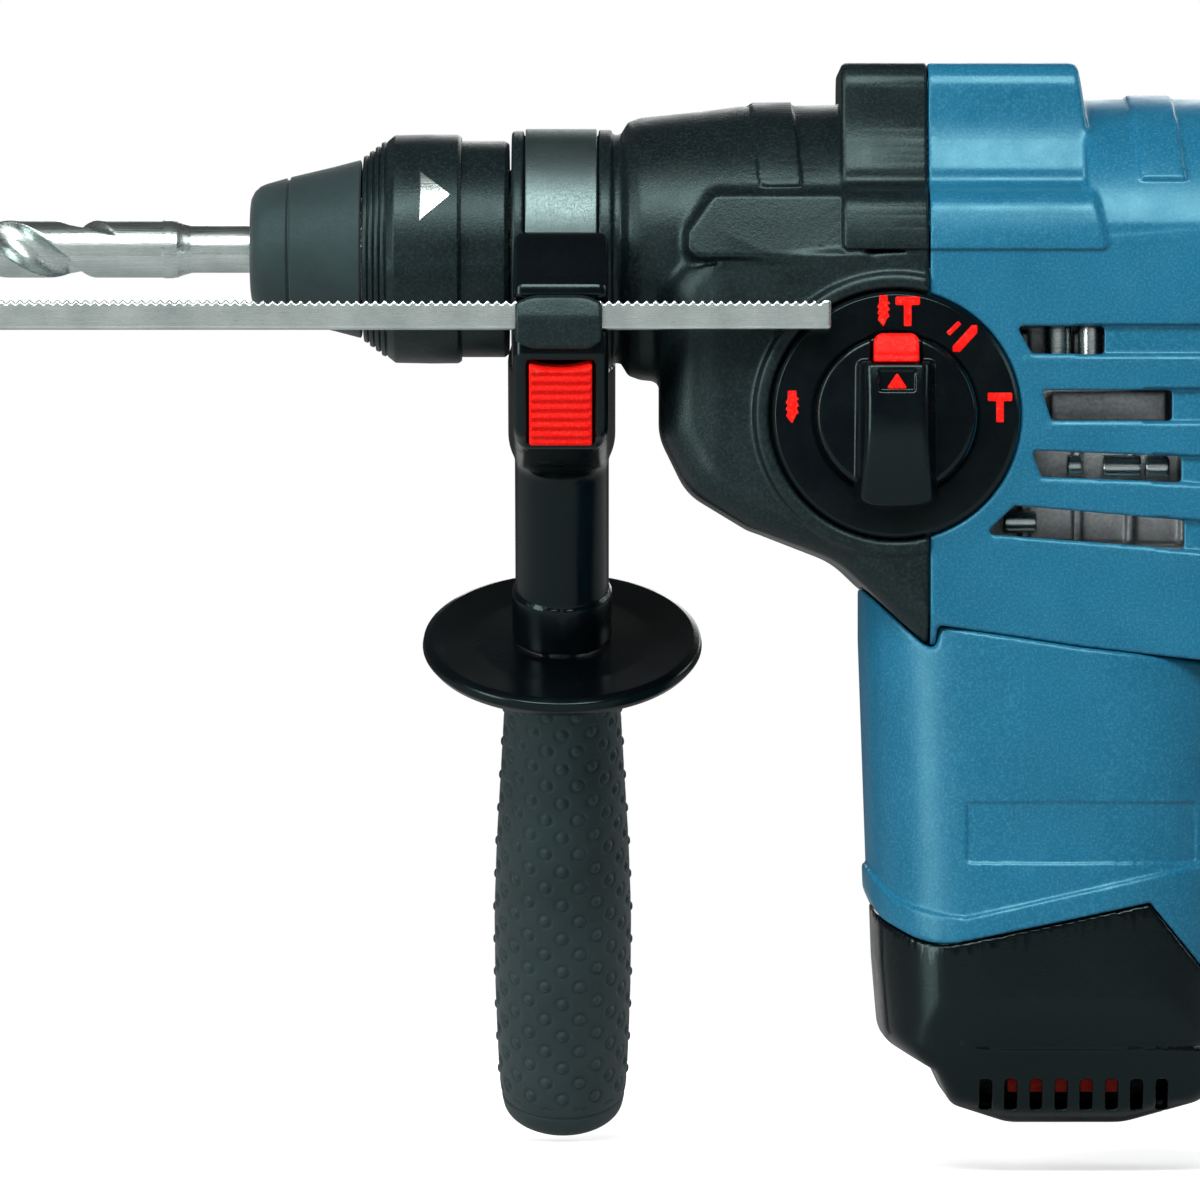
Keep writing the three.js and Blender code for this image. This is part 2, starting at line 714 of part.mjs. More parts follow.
const wristPin = () => rod(-11.5, 11.5, WRIST_PIN_R, "z", [PISTON_PIN_X, 0, SPINDLE_Z]);

const smallEnd = [PISTON_PIN_X, 0, SPINDLE_Z];
const bigEnd = [PISTON_PIN_X + CONROD_LENGTH, 0, SPINDLE_Z];

function conrod() {
  const corners = [[smallEnd[0], -3.5], [bigEnd[0], -4.5], [bigEnd[0], 4.5], [smallEnd[0], 3.5]];
  const web = prism(corners, "xy", [up(-3), up(3)]);
  const eyes = [rod(-4, 4, 5.8, "z", smallEnd), rod(-4.5, 4.5, 6.8, "z", bigEnd)];
  const bores = [rod(-9, 9, WRIST_PIN_R + GAP, "z", smallEnd), rod(-9, 9, CRANK_PIN_R + GAP, "z", bigEnd)];
  return without(joined([web, ...eyes]), bores);
}

const crankPin = () =>
  turned([[-9.4, CRANK_PIN_R], [4.8, CRANK_PIN_R], [4.8, 5.4], [6, 5.4]], "z", bigEnd);

const striker = () =>
  turned([[-104.5, 6], [-103, 9], [-100, TUBE_BORE - GAP], [-89.6, TUBE_BORE - GAP]], "x", axisAt);

const impactBolt = () =>
  turned([[-129, 4.4], [-125, 4.7], [-124, 8], [-111, 8], [-110, 7]], "x", axisAt);

// The bore clears the corners of the tube as it turns.
const spindleBearing = () => ring(-104, -96, TUBE_OUTER + 3 * GAP, BALL_BEARING_R - GAP, "x", axisAt);

// The masonry bit: slotted shank, neck and a two-start fluted body with a hard tip.
function drillBit() {
  const shank = rod(-170, -132.4, SHANK_R, "x", axisAt);
  const collar = turned([[-184, BIT_R], [-181.5, BIT_R], [-180.5, SHANK_R], [-168, SHANK_R]], "x", axisAt);
  const sides = [[-9, -3.5], [3.5, 9]];
  const grooves = sides.map(([low, high]) => box([-153.5, -136.5], [-2.9, 2.9], [up(low), up(high)]));
  const keys = sides.map((side) => box([-164, -125], side, [up(-1.2), up(1.2)]));
  const thick = rod(-201, -183, BIT_R, "x", axisAt);
  const tip = box([-292.5, -286], [-0.9, 0.9], [up(-6.2), up(6.2)]);
  return joined([without(shank, [...grooves, ...keys]), collar, thick, flutedBody(), tip]);
}

function flutedBody() {
  const length = 88;
  const turns = 2.6;
  const half = [[-5.9, -1.6, 1], [-2.2, -2.4, 2], [1.6, -5.6, 1]];
  const section = outline([...half, ...half.map(([u, v, r]) => [-u, -v, r])], 0, 2);
  const options = { depth: length, steps: 16, bevelEnabled: false, curveSegments: 2 };
  const geometry = new THREE.ExtrudeGeometry(section, options);
  const position = geometry.getAttribute("position");
  const point = new THREE.Vector3();
  for (let i = 0; i < position.count; i += 1) {
    point.fromBufferAttribute(position, i);
    point.applyAxisAngle(new THREE.Vector3(0, 0, 1), (point.z / length) * 2 * Math.PI * turns);
    position.setXYZ(i, point.z, point.x, point.y);
  }
  return solid(geometry.translate(-288, 0, SPINDLE_Z));
}

// ---- Selector ----------------------------------------------------------------------------------
const dialAt = [DIAL.x, 0, DIAL.z];

const selectorRing = () => ring(DIAL.face, -35.7, DIAL.knobR + 0.5, DIAL.r, "y", dialAt, FINE);

// Corners given from the middle of the dial.
const onDial = (corners) => corners.map(([u, v, r]) => [DIAL.x + u, DIAL.z + v, r]);

function selectorKnob() {
  const profile = [[-41.4, DIAL.knobR - 1.2], [-40.4, DIAL.knobR], [-35.7, DIAL.knobR]];
  const disc = turned(profile, "y", dialAt, FINE);
  const corners = onDial([[-6.5, -15, 2], [6.5, -15, 2], [6, 11, 2], [-6, 11, 2]]);
  const bar = prism(corners, "xz", [-49.5, -41], 1.2);
  const seat = box([DIAL.x - 5.2, DIAL.x + 5.2], [-60, -38.2], [DIAL.z + 9.6, DIAL.z + 20]);
  return disc.add(bar).subtract(seat);
}

function selectorButton() {
  const corners = onDial([[-4.8, 10, 1], [4.8, 10, 1], [4.5, 15.6, 1.4], [-4.5, 15.6, 1.4]]);
  return prism(corners, "xz", [-46.5, -40.6], 0.5);
}

// ---- Side handle -------------------------------------------------------------------------------
// Stations along the handle run down from the spindle axis. The tilt turns them about that axis.
const tiltAbout = new THREE.Matrix4()
  .makeTranslation(COLLAR_X, 0, SPINDLE_Z)
  .multiply(new THREE.Matrix4().makeRotationX(HANDLE_TILT));
const tilted = (body) => moved(body, tiltAbout);
const column = (profile, segments = ROUND) =>
  turned(profile.map(([station, radius]) => [-station, radius]), "z", [0, 0, 0], segments);

const headSpan = [COLLAR_X - HEAD_WIDTH / 2, COLLAR_X + HEAD_WIDTH / 2];
const BUTTON = { top: 1.2, bottom: 20, half: 6.6, face: 52, ribPitch: 2.4, ribWidth: 1.1 };

const clampBand = () => ring(-110.1, -95.1, COLLAR_R + GAP, 25.2, "x", axisAt, FINE);

function handleHead() {
  const saddle = prism(
    [
      [-20, up(1.5)],
      [-35, up(1.5), 4],
      [-45, up(-8), 5],
      [-45, up(-23.6), 1],
      [-34.1, up(-44.2), 3],
      [13, up(-45.6)],
      [29.4, up(-34.2), 3],
      [33, up(-12), 6],
      [26, up(-3), 2],
      [0, up(0)],
    ],
    "yz",
    headSpan,
    1.2,
  );
  const stem = tilted(column([[28, COLUMN_R], [84, COLUMN_R], [88, 11.4], [91.8, 11.4]]));
  const buttonWidth = [-BUTTON.half - GAP, BUTTON.half + GAP];
  const buttonHeight = [-BUTTON.bottom - GAP, -BUTTON.top + GAP];
  const button = tilted(box(buttonWidth, [-70, -BUTTON.face + 7.5], buttonHeight));
  const rodHeight = [up(ROD.bottom - GAP), up(ROD.bottom + ROD.height + GAP)];
  const rodSlot = box([-150, -50], [-60, ROD.back + GAP], rodHeight);
  const bolt = tilted(column([[10, 4.5], [100, 4.5]]));
  return without(saddle.add(stem), [rod(-130, -80, 25.6, "x", axisAt, FINE), rodSlot, button, bolt]);
}

function headCap() {
  const corners = [
    [-45.3, up(-22.6), 0.5],
    [-48, up(-22), 1],
    [-48.4, up(-14), 3],
    [-46.8, up(-10.6), 1.5],
    [-45.3, up(-10.4), 0.5],
  ];
  return prism(corners, "yz", [headSpan[0] + 0.6, headSpan[1] - 1.4]);
}

function rodButton() {
  const depth = [-BUTTON.face, -BUTTON.face + 4];
  const body = box([-BUTTON.half, BUTTON.half], depth, [-BUTTON.bottom, -BUTTON.top]);
  const ribs = [];
  for (let z = -BUTTON.bottom + 1.2; z < -BUTTON.top - 1; z += BUTTON.ribPitch) {
    const height = [z, z + BUTTON.ribWidth];
    ribs.push(box([-BUTTON.half + 0.6, BUTTON.half - 0.6], [-BUTTON.face - 0.6, -BUTTON.face + 1], height));
  }
  return tilted(joined([body, ...ribs]));
}

function gripFlange() {
  const flange = column(
    [
      [FLANGE_AT, 12],
      [FLANGE_AT + 0.4, 20],
      [FLANGE_AT - 0.4, 28],
      [FLANGE_AT + 0.4, FLANGE_R - 0.6],
      [FLANGE_AT + 2, FLANGE_R],
      [FLANGE_AT + 3.4, 28.6],
      [FLANGE_AT + 3.8, 16],
      [FLANGE_AT + 4, 8],
      [200, 8],
    ],
    FINE,
  );
  return tilted(flange.subtract(column([[90, 4.3], [150, 4.3]])));
}

const GRIP_PROFILE = [
  [97, 12.1],
  [99, 12.5],
  [111, 12.6],
  [126, 13.4],
  [142, 14.3],
  [160, 14.9],
  [178, 14.8],
  [192, 14.4],
  [203, 13.9],
  [209, 13],
  [212, 11],
  [213.4, 7.5],
];

const sideGrip = () => tilted(column(GRIP_PROFILE).subtract(column([[90, 8.3], [200.4, 8.3]], 32)));

const clampBolt = () => tilted(column([[29, 3.9], [148, 3.9]]));

function depthRod() {
  const front = ROD.rear - ROD.length;
  const top = ROD.bottom + ROD.height;
  const count = Math.floor((ROD.length - 4) / ROD.pitch);
  const corners = [[front, up(ROD.bottom), 0.6], [ROD.rear, up(ROD.bottom), 0.6], [ROD.rear, up(top), 0.4]];
  for (let i = 0; i < count; i += 1) {
    const x = ROD.rear - 1.5 - i * ROD.pitch;
    corners.push([x, up(top)], [x - 0.5 * ROD.pitch, up(top - 0.9)]);
  }
  corners.push([front, up(top), 0.4]);
  return prism(corners, "xz", [ROD.back - ROD.depth, ROD.back], 0);
}

// ---- Rear handle -------------------------------------------------------------------------------
const REAR_HALF = 17;
const ARM_FRONT = 58;

function rearHandleForm() {
  return prism(
    [
      [ARM_FRONT, 211, 3],
      [116, 208, 20],
      [158, 196, 20],
      [163, 150, 30],
      [157, 70, 30],
      [148, 26, 14],
      [122, 14, 10],
      [50, 12, 4],
      [47.5, 20, 2],
      [47.5, 42, 3],
      [100, 46, 12],
      [120, 62, 12],
      [129, 120, 30],
      [126, 168, 16],
      [104, 178, 10],
      [ARM_FRONT, 178, 3],
    ],
    "xz",
    [-REAR_HALF, REAR_HALF],
    5,
  );
}

const softRegion = (grow) =>
  prism(
    [[150 - grow, 60 - grow, 6], [152 - grow, 168 + grow, 6], [180, 168 + grow], [180, 60 - grow]],
    "xz",
    [-40, 40],
  );

const TRIGGER = { z: [114, 154], half: 8, rear: 141 };
const LOCK_ON = { x: 143, z: 106, r: 5 };
const GLAND = { x: 128, r: 7 };
const SLIDER = { x: [128, 134], y: [-20, 20], z: [158, 163] };
const grown = ([from, to], by) => [from - by, to + by];

function rearHandle(side) {
  const y = side < 0 ? [-40, -GAP / 2] : [GAP / 2, 40];
  const half = rearHandleForm().intersect(box([40, 180], y, [0, 230]));
  const cavity = joined([
    box([110, TRIGGER.rear + 9], [-TRIGGER.half - GAP, TRIGGER.half + GAP], grown(TRIGGER.z, GAP)),
    box([132, 149.2], [-10.3, 10.3], [99.7, 166.3]),
  ]);
  const lockBore = rod(-18, 18, LOCK_ON.r + 0.4, "y", [LOCK_ON.x, 0, LOCK_ON.z], FINE);
  return without(half, [
    softRegion(GAP),
    cavity,
    box([40, PIVOT.x + 7], [-8.6, 8.6], [PIVOT.z - 7, PIVOT.z + 7]),
    rod(-14.3, 14.3, PIVOT.r + GAP, "y", [PIVOT.x, 0, PIVOT.z]),
    box([ARM_FRONT - 1, ARM_FRONT + 6], [-8, 8], [up(-1), up(17)]),
    rod(0, 22, GLAND.r + 0.4, "z", [GLAND.x, 0, 0], FINE),
    lockBore.intersect(box([100, 180], [-18, -10], [90, 130])),
    box(grown(SLIDER.x, 0.6), [-30, 30], grown(SLIDER.z, GAP)),
  ]);
}

const softGrip = () => rearHandleForm().intersect(softRegion(0));

function bellows() {
  const folds = 4;
  const front = BODY_REAR + GAP;
  const pitch = (ARM_FRONT - BODY_REAR - 2 * GAP) / folds;
  const corners = [];
  for (let i = 0; i < folds; i += 1) {
    corners.push([front + i * pitch, up(26)], [front + (i + 0.5) * pitch, up(28)]);
  }
  corners.push([ARM_FRONT - GAP, up(26)], [ARM_FRONT - GAP, up(0)]);
  for (let i = folds - 1; i >= 0; i -= 1) {
    corners.push([front + (i + 0.5) * pitch, up(-2)], [front + i * pitch, up(0)]);
  }
  const body = prism(corners, "xz", [-13, 13], 0);
  return body.subtract(box([40, 70], [-9.5, 9.5], [up(2.5), up(23)]));
}

const damperSpring = () => wire(new Helix(BODY_REAR - 6, ARM_FRONT + 4, 6, 5, 0, up(10)), 0.9, 36);
const pivotPin = () => rod(-14, 14, PIVOT.r, "y", [PIVOT.x, 0, PIVOT.z]);

function trigger() {
  const paddle = prism(
    [
      [116, TRIGGER.z[1] - 1, 4],
      [119.5, (TRIGGER.z[0] + TRIGGER.z[1]) / 2, 10],
      [117, TRIGGER.z[0] + 1, 3],
      [128, TRIGGER.z[0] + 1],
      [131, TRIGGER.z[0] + 8],
      [131, TRIGGER.z[1] - 8],
      [128, TRIGGER.z[1] - 1],
    ],
    "xz",
    [-TRIGGER.half, TRIGGER.half],
    1.2,
  );
  return paddle;
}

const switchModule = () => box([139.8, 148.8], [-10, 10], [112, 156]);

const reverseSlider = () => box(SLIDER.x, SLIDER.y, SLIDER.z);

function lockOnButton() {
  const profile = [[-19.2, 3.6], [-18.4, LOCK_ON.r], [-12.6, LOCK_ON.r]];
  return turned(profile, "y", [LOCK_ON.x, 0, LOCK_ON.z], FINE);
}

function cordGland() {
  const at = [GLAND.x, 0, 0];
  const body = turned([[7, 5.6], [9, GLAND.r], [21.6, GLAND.r]], "z", at, FINE);
  return body.subtract(rod(0, 18, 3.8, "z", at));
}

// ---- Assembly ----------------------------------------------------------------------------------
const PIECES = {
  gear_housing: [gearHousing, BLACK],
  body_shell_left: [() => rearShell(-1), BLUE],
  body_shell_right: [() => rearShell(1), BLUE],
  motor_housing: [motorHousing, BLUE],
  base_cap: [baseCap, BLACK],
  stator_core: [statorCore, IRON],
  field_winding: [fieldWinding, COPPER],
  bearing_bracket: [bearingBracket, CAST],
  upper_bearing: [upperBearing, STEEL],
  lower_bearing: [lowerBearing, STEEL],
  brush_holder: [brushHolder, RED],
  brush_left: [() => brush(-1), CARBON],
  brush_right: [() => brush(1), CARBON],
  spindle_bearing: [spindleBearing, STEEL],
  selector_ring: [selectorRing, BLACK],
  armature_core: [armatureCore, IRON],
  armature_windings: [armatureWindings, COPPER],
  commutator: [commutator, BRASS],
  armature_shaft: [armatureShaft, STEEL],
  cooling_fan: [coolingFan, BLACK],
  crank_gear: [crankGear, DARK_STEEL],
  counter_shaft: [counterShaft, DARK_STEEL],
  spindle_tube: [spindleTube, STEEL],
  spindle_bevel_gear: [spindleBevelGear, DARK_STEEL],
  tool_holder: [toolHolder, STEEL],
  locking_ball_upper: [() => ball(1), STEEL],
  locking_ball_lower: [() => ball(-1), STEEL],
  lock_ring: [lockRing, DARK_STEEL],
  chuck_spring: [chuckSpring, STEEL],
  dust_cap: [dustCap, RUBBER],
  locking_sleeve: [lockingSleeve, BLACK],
  chuck_ring: [chuckRing, BLACK],
  drill_bit: [drillBit, STEEL],
  piston: [piston, STEEL],
  wrist_pin: [wristPin, STEEL],
  conrod: [conrod, DARK_STEEL],
  crank_pin: [crankPin, STEEL],
  striker: [striker, STEEL],
  impact_bolt: [impactBolt, STEEL],
  selector_knob: [selectorKnob, BLACK],
  selector_button: [selectorButton, RED],
  clamp_band: [clampBand, STEEL],
  handle_head: [handleHead, BLACK],
  head_cap: [headCap, BLACK],
  rod_button: [rodButton, RED],
  grip_flange: [gripFlange, BLACK],
  side_grip: [sideGrip, RUBBER],
  clamp_bolt: [clampBolt, STEEL],
  depth_rod: [depthRod, STEEL],
  rear_handle_left: [() => rearHandle(-1), BLUE],
  rear_handle_right: [() => rearHandle(1), BLUE],
  soft_grip: [softGrip, RUBBER],
  bellows: [bellows, RUBBER],
  damper_spring: [damperSpring, STEEL],
  handle_pivot_pin: [pivotPin, STEEL],
  trigger: [trigger, BLACK],
  switch_module: [switchModule, BLACK],
  reverse_slider: [reverseSlider, BLACK],
  lock_on_button: [lockOnButton, BLACK],
  cord_gland: [cordGland, RUBBER],
};

const hammer = new THREE.Group();
for (const [name, [make, finish]] of Object.entries(PIECES)) {
  const geometry = geometryOf(make()).toNonIndexed();
  geometry.computeVertexNormals();
  const piece = new THREE.Mesh(geometry, new THREE.MeshStandardMaterial(finish));
  piece.name = name;
  hammer.add(piece);
}

export default hammer;
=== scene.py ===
"""Looks of the rotary hammer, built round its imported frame.

Forms are worked out in millimetres and handed to Blender in metres. Shells, levers, the bit and the depth rod
are distance fields, turned into meshes at a fine pitch. Round pieces, the grip and the coil are swept.
"""
import bpy
import json
import math
import numpy as np
import openvdb
from mathutils import Matrix, Vector

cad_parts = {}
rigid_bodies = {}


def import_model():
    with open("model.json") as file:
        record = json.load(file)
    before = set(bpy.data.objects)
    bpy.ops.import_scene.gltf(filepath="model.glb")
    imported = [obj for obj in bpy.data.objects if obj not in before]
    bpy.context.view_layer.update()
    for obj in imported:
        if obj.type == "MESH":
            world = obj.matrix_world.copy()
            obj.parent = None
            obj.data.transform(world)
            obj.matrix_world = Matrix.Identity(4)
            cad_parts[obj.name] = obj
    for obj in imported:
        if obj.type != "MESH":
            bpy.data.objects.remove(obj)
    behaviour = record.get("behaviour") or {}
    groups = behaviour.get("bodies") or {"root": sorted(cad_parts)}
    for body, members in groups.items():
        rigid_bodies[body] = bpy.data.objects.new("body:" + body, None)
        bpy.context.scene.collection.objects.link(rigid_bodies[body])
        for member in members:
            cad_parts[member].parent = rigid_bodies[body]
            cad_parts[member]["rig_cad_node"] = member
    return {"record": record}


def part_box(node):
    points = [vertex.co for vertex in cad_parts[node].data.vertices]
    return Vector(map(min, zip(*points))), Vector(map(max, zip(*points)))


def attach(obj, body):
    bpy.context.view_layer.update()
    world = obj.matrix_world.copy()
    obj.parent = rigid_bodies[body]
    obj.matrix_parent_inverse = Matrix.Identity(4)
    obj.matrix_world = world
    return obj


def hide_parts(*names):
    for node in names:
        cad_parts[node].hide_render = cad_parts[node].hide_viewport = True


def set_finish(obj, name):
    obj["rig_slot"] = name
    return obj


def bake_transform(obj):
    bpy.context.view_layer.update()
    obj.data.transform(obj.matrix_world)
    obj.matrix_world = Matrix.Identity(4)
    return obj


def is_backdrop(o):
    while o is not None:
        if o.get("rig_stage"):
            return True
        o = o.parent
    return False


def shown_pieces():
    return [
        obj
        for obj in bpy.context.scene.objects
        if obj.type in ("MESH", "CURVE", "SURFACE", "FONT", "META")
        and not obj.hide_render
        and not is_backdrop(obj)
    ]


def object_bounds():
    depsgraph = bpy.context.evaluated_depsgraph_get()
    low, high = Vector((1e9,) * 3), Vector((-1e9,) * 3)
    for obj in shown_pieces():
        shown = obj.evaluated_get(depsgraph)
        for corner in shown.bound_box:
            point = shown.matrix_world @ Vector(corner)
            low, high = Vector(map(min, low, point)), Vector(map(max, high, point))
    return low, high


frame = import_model()
cad_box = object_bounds()

MM = 0.001
PITCH = 0.5  # spacing of the distance fields
ROUND = 128  # facets round a turned piece
WALL = 3.0  # housing wall
SEAM = 0.15  # half the gap at a parting line
FAR = 1e3  # a distance that no form reaches


# ---- Places taken from the frame ----
def span(node):
    """Lowest and highest corner of a CAD node, in millimetres."""
    low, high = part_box(node)
    return np.array(low) / MM, np.array(high) / MM


def middle(node):
    low, high = span(node)
    return (low + high) / 2


AXIS_Z = middle("spindle_tube")[2]  # spindle axis above the base
DIAL_X, _, DIAL_Z = middle("selector_ring")
SPLIT_X = span("gear_housing")[1][0]
HUMP_TOP = span("gear_housing")[1][2]
HUMP_OVER = HUMP_TOP - AXIS_Z
BODY_REAR = span("body_shell_left")[1][0]
NOSE_FRONT = span("gear_housing")[0][0]
TILT = math.radians(28)  # side handle, swung away from the selector side
HANDLE_PIVOT = (52, 28)  # pin of the rear handle, as (x, z)


def up(height):
    """Height above the base of a point given by its height above the spindle axis."""
    return AXIS_Z + height


# ---- Distance fields ----
class Block:
    """A block of space cut into cells, in which a form is held as distances to its surface."""

    def __init__(self, low, high, pitch=None):
        self.pitch = pitch or PITCH
        self.low = np.array(low, float) - 2.27 * self.pitch  # keeps flat faces off the cell corners
        sizes = np.ceil((np.array(high) - self.low) / self.pitch).astype(int) + 3
        steps = [self.low[i] + self.pitch * np.arange(n) for i, n in enumerate(sizes)]
        grid = np.meshgrid(*steps, indexing="ij", sparse=True)
        self.x, self.y, self.z = (places.astype(np.float32) for places in grid)

    def turned(self, points, axis, at):
        """A solid of revolution about an axis through a point, from its outline of (station, radius)."""
        names = "xyz"
        station = getattr(self, axis) - at[names.index(axis)]
        across = [getattr(self, n) - at[names.index(n)] for n in names if n != axis]
        radius = np.sqrt(across[0] ** 2 + across[1] ** 2)
        radii = np.arange(0, float(radius.max()) + self.pitch, self.pitch / 2, dtype=np.float32)
        stations = station.reshape(-1, 1)
        table = outline_distance(stations, radii.reshape(1, -1), points)
        place = radius / (self.pitch / 2)
        lower = np.minimum(place.astype(np.int32), len(radii) - 2)
        share = (place - lower).astype(np.float32)
        order = names.index(axis)
        field = np.take(table, lower.squeeze(order), axis=1) * (1 - share.squeeze(order))
        field += np.take(table, lower.squeeze(order) + 1, axis=1) * share.squeeze(order)
        return np.moveaxis(field, 0, order)

    def mesh(self, field):
        """The surface of a field, as points and quads facing out."""
        reach = 3 * self.pitch
        volume = openvdb.FloatGrid(background=reach)
        volume.copyFromArray(np.clip(field, -reach, reach).astype(np.float32))
        points, quads = volume.convertToQuads(isovalue=0.0)
        return points * self.pitch + self.low, quads


def outline_distance(u, v, points):
    """Signed distance of each (u, v) to a closed outline, negative inside."""
    nearest = np.float32(1e12)
    inside = np.zeros(np.broadcast(u, v).shape, bool)
    for (u0, v0), (u1, v1) in zip(points, np.roll(points, -1, axis=0)):
        du, dv = u1 - u0, v1 - v0
        share = np.clip(((u - u0) * du + (v - v0) * dv) / (du * du + dv * dv + 1e-12), 0, 1)
        nearest = np.minimum(nearest, (u - u0 - share * du) ** 2 + (v - v0 - share * dv) ** 2)
        inside ^= ((v0 > v) != (v1 > v)) & (u < u0 + (v - v0) * du / (dv if abs(dv) > 1e-9 else 1e-9))
    return (np.where(inside, -1, 1) * np.sqrt(nearest)).astype(np.float32)


def rounded(corners, steps=7):
    """Points of an outline through corners (u, v, radius), each rounded by an arc of that radius."""
    points = []
    for i, (u, v, *wanted) in enumerate(corners):
        corner = np.array([u, v], float)
        if not wanted:
            points.append(corner)
            continue
        before = np.array(corners[i - 1][:2]) - corner
        after = np.array(corners[(i + 1) % len(corners)][:2]) - corner
        room = 0.49 * min(np.linalg.norm(before), np.linalg.norm(after))
        before, after = before / np.linalg.norm(before), after / np.linalg.norm(after)
        half = math.acos(np.clip(before @ after, -1, 1)) / 2
        reach = min(wanted[0] / math.tan(half), room)
        radius = reach * math.tan(half)
        inward = (before + after) / np.linalg.norm(before + after)
        centre = corner + inward * radius / math.sin(half)
        start, end = corner + before * reach - centre, corner + after * reach - centre
        for share in np.linspace(0, 1, steps):
            arm = start * (1 - share) + end * share
            points.append(centre + arm * radius / np.linalg.norm(arm))
    return np.array(points)


def meet(a, b, r=0.0):
    """What two forms share, with the edge between them rounded."""
    if r <= 0:
        return np.maximum(a, b)
    return np.minimum(np.maximum(a, b), -r) + np.sqrt(np.maximum(a + r, 0) ** 2 + np.maximum(b + r, 0) ** 2)


def join(a, b, r=0.0):
    """Two forms together, with a fillet where they meet."""
    return -meet(-a, -b, r)


def cut(a, b, r=0.0):
    """A form with another taken away, and its new edge rounded."""
    return meet(a, -b, r)


def between(values, low, high):
    """Distance to the slab from low to high along one axis."""
    return np.maximum(low - values, values - high)


def boxed(block, x=None, y=None, z=None, r=0.0):
    """A box with rounded edges, endless along each axis that has no range."""
    field = None
    for values, ends in ((block.x, x), (block.y, y), (block.z, z)):
        if ends is not None:
            slab = between(values, *ends)
            field = slab if field is None else meet(field, slab, r)
    return field


def mirrored(half):
    """A whole outline from its half at negative u."""
    return half + [(-u, v, *r) for u, v, *r in reversed(half)]


def side_view(b, corners):
    """Distance to an endless form whose outline, seen from the side, has corners (x, z, radius)."""
    return outline_distance(b.x, b.z, rounded(corners))


def front_view(b, corners):
    """The same for corners (y, z, radius), seen from the front."""
    return outline_distance(b.y, b.z, rounded(corners))


def from_line(b, axis, at):
    """Distance from a line along an axis, through a point given by its two other coordinates."""
    others = [n for n in "xyz" if n != axis]
    return np.sqrt(sum((getattr(b, n) - v) ** 2 for n, v in zip(others, at)))


def round_bar(b, axis, at, radius, ends, r=0.3):
    return meet(from_line(b, axis, at) - radius, between(getattr(b, axis), *ends), r)


def halved(b, side, shell, r):
    """The half of a shell on one side of the tool's middle plane, up to the parting line."""
    return meet(shell, (SEAM - b.y) if side > 0 else (b.y + SEAM), r)


# ---- Forms of the shells ----
FLANK = 37.0  # half width of the gearbox
CREASE = (up(-1.4), up(2.9))  # height of the flank crease at the seam and at its rear end
CREASE_END = 31.5  # x of that rear end
DIAL_R = 25.6
COLLAR_X = float(middle("clamp_band")[0])
VENTS = [
    # left top, right top, right bottom, left bottom, as (x, z)
    [(-8.6, 164.9), (9.6, 164.9), (9.6, 159.2), (-5.4, 159.2)],
    [(-3.4, 151.7), (23.5, 151.7), (23.5, 145.4), (-1.4, 145.4)],
    [(-5.5, 139.3), (25.4, 138.0), (25.4, 132.7), (-3.5, 133.8)],
    [(-9.0, 127.9), (26.0, 124.8), (26.0, 118.9), (-15.1, 122.0)],
]
NOSE_PROFILE = [
    (-113, 0), (-113, 24.4, 0.6), (-112.4, 24.8, 0.4), (-110.4, 24.8, 0.3), (-110.4, 23.6), (-94.8, 23.6),
    (-94.8, 25, 0.3), (-92, 25, 0.3), (-92, 24), (-90.2, 24, 0.4), (-88.6, 26.6, 1), (-86.1, 27.5, 2),
    (-73.6, 28.8, 8), (-65.1, 29.9, 4), (-45.6, 30.2, 4), (-20, 30.2), (-20, 0),
]


def gearbox_low(b):
    """The lower gearbox, with its big front rounding and its tail down to the motor."""
    side = side_view(b, [
        (48, up(14)), (48, 88), (-23, 88), (-24.6, 97.5, 2), (-27.8, 99.4, 6), (-45.5, 116.2, 16),
        (-62, 122.6, 22), (-76, 131, 12), (-81.9, 143, 12), (-81.9, up(-8), 10), (-62, up(14)),
    ])
    plan = outline_distance(b.y, b.x, rounded(mirrored([
        (-FLANK, 48), (-FLANK, -44, 60), (-33.5, -70, 24), (-27, -92, 4),
    ])))
    return meet(side, plan, 7.0)


def hump(b):
    """The hump over the crank: a roof that falls into a valley, and a rounded shelf below it."""
    section = front_view(b, mirrored([
        (-24.6, up(HUMP_OVER), 6), (-24.9, up(24), 24), (-27.6, up(15.6), 2.0), (-27.8, up(12.6), 2.5),
        (-36.3, up(9.8), 6), (-37.7, up(3.0), 30), (-38.0, up(-1.4), 0.4), (-30, up(-1.4)), (-30, up(-14)),
    ]))
    side = side_view(b, [
        (-44.5, up(-20)), (-44.5, up(HUMP_OVER), 1.4), (4.6, up(HUMP_OVER), 2), (7.0, up(22), 3),
        (6.9, up(14), 3), (10.2, up(-1)), (10.2, up(-20)),
    ])
    return meet(section, side, 1.2)


def rear_crown(b):
    """The crowned rear body: an oval, a little wider than the flanks, that meets them at a crease."""
    wide, high, centre, power = 38.0, 37.4, up(-6), 2.1
    radius = (np.abs(b.y / wide) ** power + np.abs((b.z - centre) / high) ** power) ** (1 / power)
    oval = np.where(b.z > centre, (radius - 1) * high, -FAR)
    crown = meet(oval, np.abs(b.y) - 36.9)
    return meet(crown, boxed(b, x=(-40, BODY_REAR)), 2.5)


def crease_height(b):
    """Height of the crease between flank and crown, which rises to the rear."""
    share = (b.x - SPLIT_X) / (CREASE_END - SPLIT_X)
    return CREASE[0] + (CREASE[1] - CREASE[0]) * share


